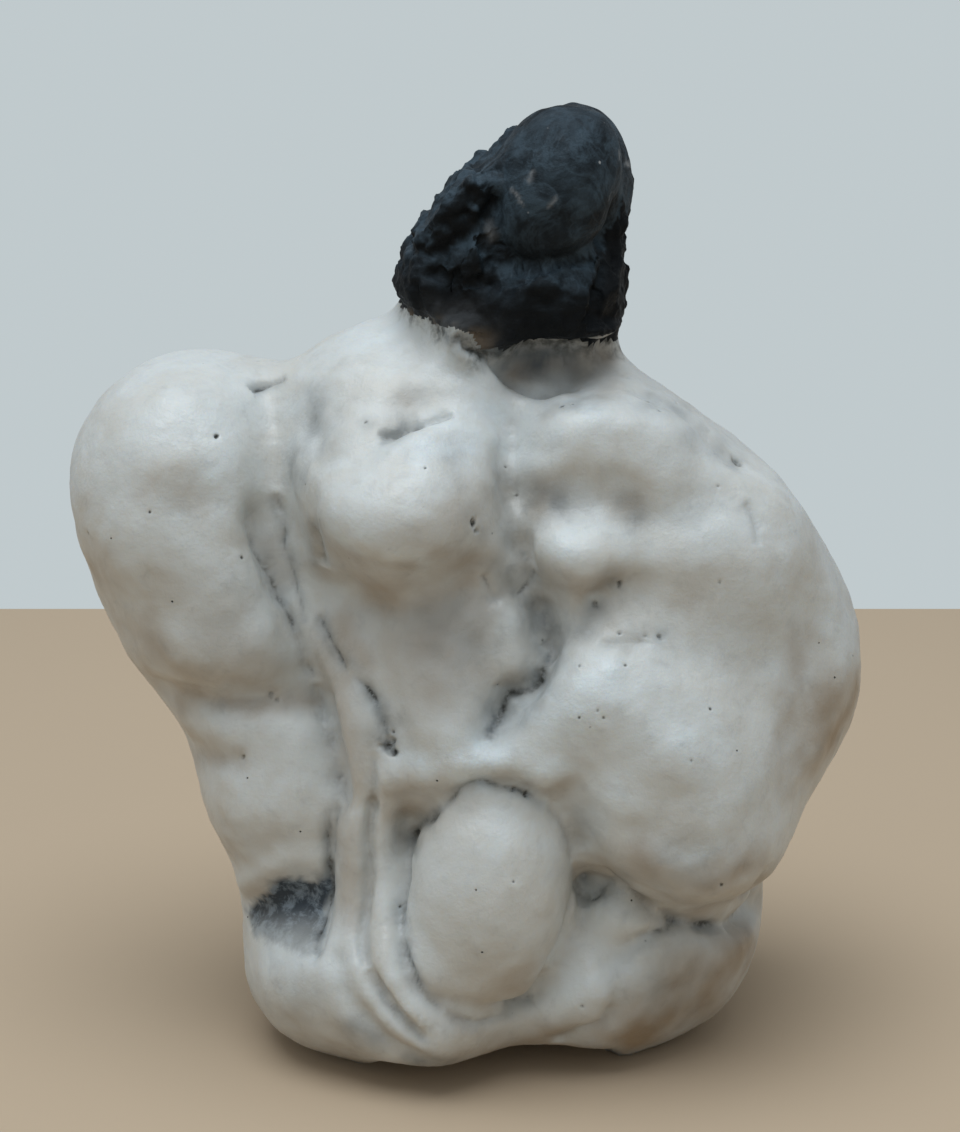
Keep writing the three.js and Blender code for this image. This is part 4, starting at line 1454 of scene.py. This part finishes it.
def set_air(strength, wall):
    """Even light from all round, which shows as a plain pale wall."""
    world = bpy.data.worlds.new("air")
    world.use_nodes = True
    nodes, links = world.node_tree.nodes, world.node_tree.links
    air = nodes["Background"]
    air.inputs["Color"].default_value = (*AIR_COLOUR, 1.0)
    air.inputs["Strength"].default_value = strength
    shown = nodes.new("ShaderNodeBackground")
    shown.inputs["Color"].default_value = (*wall, 1.0)
    seen = nodes.new("ShaderNodeLightPath")
    either = nodes.new("ShaderNodeMixShader")
    links.new(seen.outputs["Is Camera Ray"], either.inputs["Fac"])
    links.new(air.outputs["Background"], either.inputs[1])
    links.new(shown.outputs["Background"], either.inputs[2])
    links.new(either.outputs["Shader"], nodes["World Output"].inputs["Surface"])
    bpy.context.scene.world = world


def set_view():
    """Shows colours as they are, so that white stays white."""
    bpy.context.scene.view_settings.view_transform = "Standard"


def add_camera():
    """A camera at the eye that looks along the sight."""
    data = bpy.data.cameras.new("sight")
    data.sensor_width = SIGHT_SENSOR
    data.lens = SIGHT_LENS
    data.clip_start = 0.01
    data.clip_end = 10
    camera = bpy.data.objects.new("sight", data)
    camera.location = Vector(eye_place() * MM)
    camera.rotation_euler = (math.radians(90 - SIGHT_HEIGHT_ANGLE), 0, 0)
    bpy.context.scene.collection.objects.link(camera)
    bpy.context.scene.camera = camera


# ---------------------------------------------------------------- operators


class VIEWSTONE_OT_stone(bpy.types.Operator):
    """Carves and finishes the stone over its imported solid"""

    bl_idname = "viewstone.stone"
    bl_label = "Stone"

    def execute(self, context):
        piece = carve_stone(context.scene.stone_shape)
        colours = context.scene.stone_colours
        piece.data.materials.append(white_finish(colours))
        piece.data.materials.append(rock_finish(colours))
        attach(piece, "root")
        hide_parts("stone")
        return {"FINISHED"}


class VIEWSTONE_OT_stage(bpy.types.Operator):
    """Sets the floor, the wall, the light and the camera"""

    bl_idname = "viewstone.stage"
    bl_label = "Stage"

    def execute(self, context):
        stage = context.scene.stage_settings
        add_floor(plain_finish("plain floor", stage.floor, roughness=0.9))
        add_light(stage.overhead)
        set_air(stage.air, stage.wall)
        set_view()
        add_camera()
        return {"FINISHED"}


class VIEWSTONE_PT_panel(bpy.types.Panel):
    """Lists the settings and the operators"""

    bl_label = "Viewing Stone"
    bl_idname = "VIEWSTONE_PT_panel"
    bl_space_type = "VIEW_3D"
    bl_region_type = "UI"
    bl_category = "Viewing Stone"

    def draw(self, context):
        for operator, settings in (
            (VIEWSTONE_OT_stone, ("stone_shape", "stone_colours")),
            (VIEWSTONE_OT_stage, ("stage_settings",)),
        ):
            box = self.layout.box()
            box.operator(operator.bl_idname)
            for name in settings:
                group = getattr(context.scene, name)
                for field in group.bl_rna.properties.keys():
                    if field not in {"rna_type", "name"}:
                        box.prop(group, field)


GROUPS = {"stone_shape": StoneShape, "stone_colours": StoneColours, "stage_settings": StageSettings}
CLASSES = (*GROUPS.values(), VIEWSTONE_OT_stone, VIEWSTONE_OT_stage, VIEWSTONE_PT_panel)


def register():
    for made in CLASSES:
        bpy.utils.register_class(made)
    for name, group in GROUPS.items():
        setattr(bpy.types.Scene, name, bpy.props.PointerProperty(type=group))


def unregister():
    for name in GROUPS:
        delattr(bpy.types.Scene, name)
    for made in reversed(CLASSES):
        bpy.utils.unregister_class(made)


def main():
    register()
    bpy.ops.viewstone.stone()
    bpy.ops.viewstone.stage()


if __name__ == "__main__":
    main()
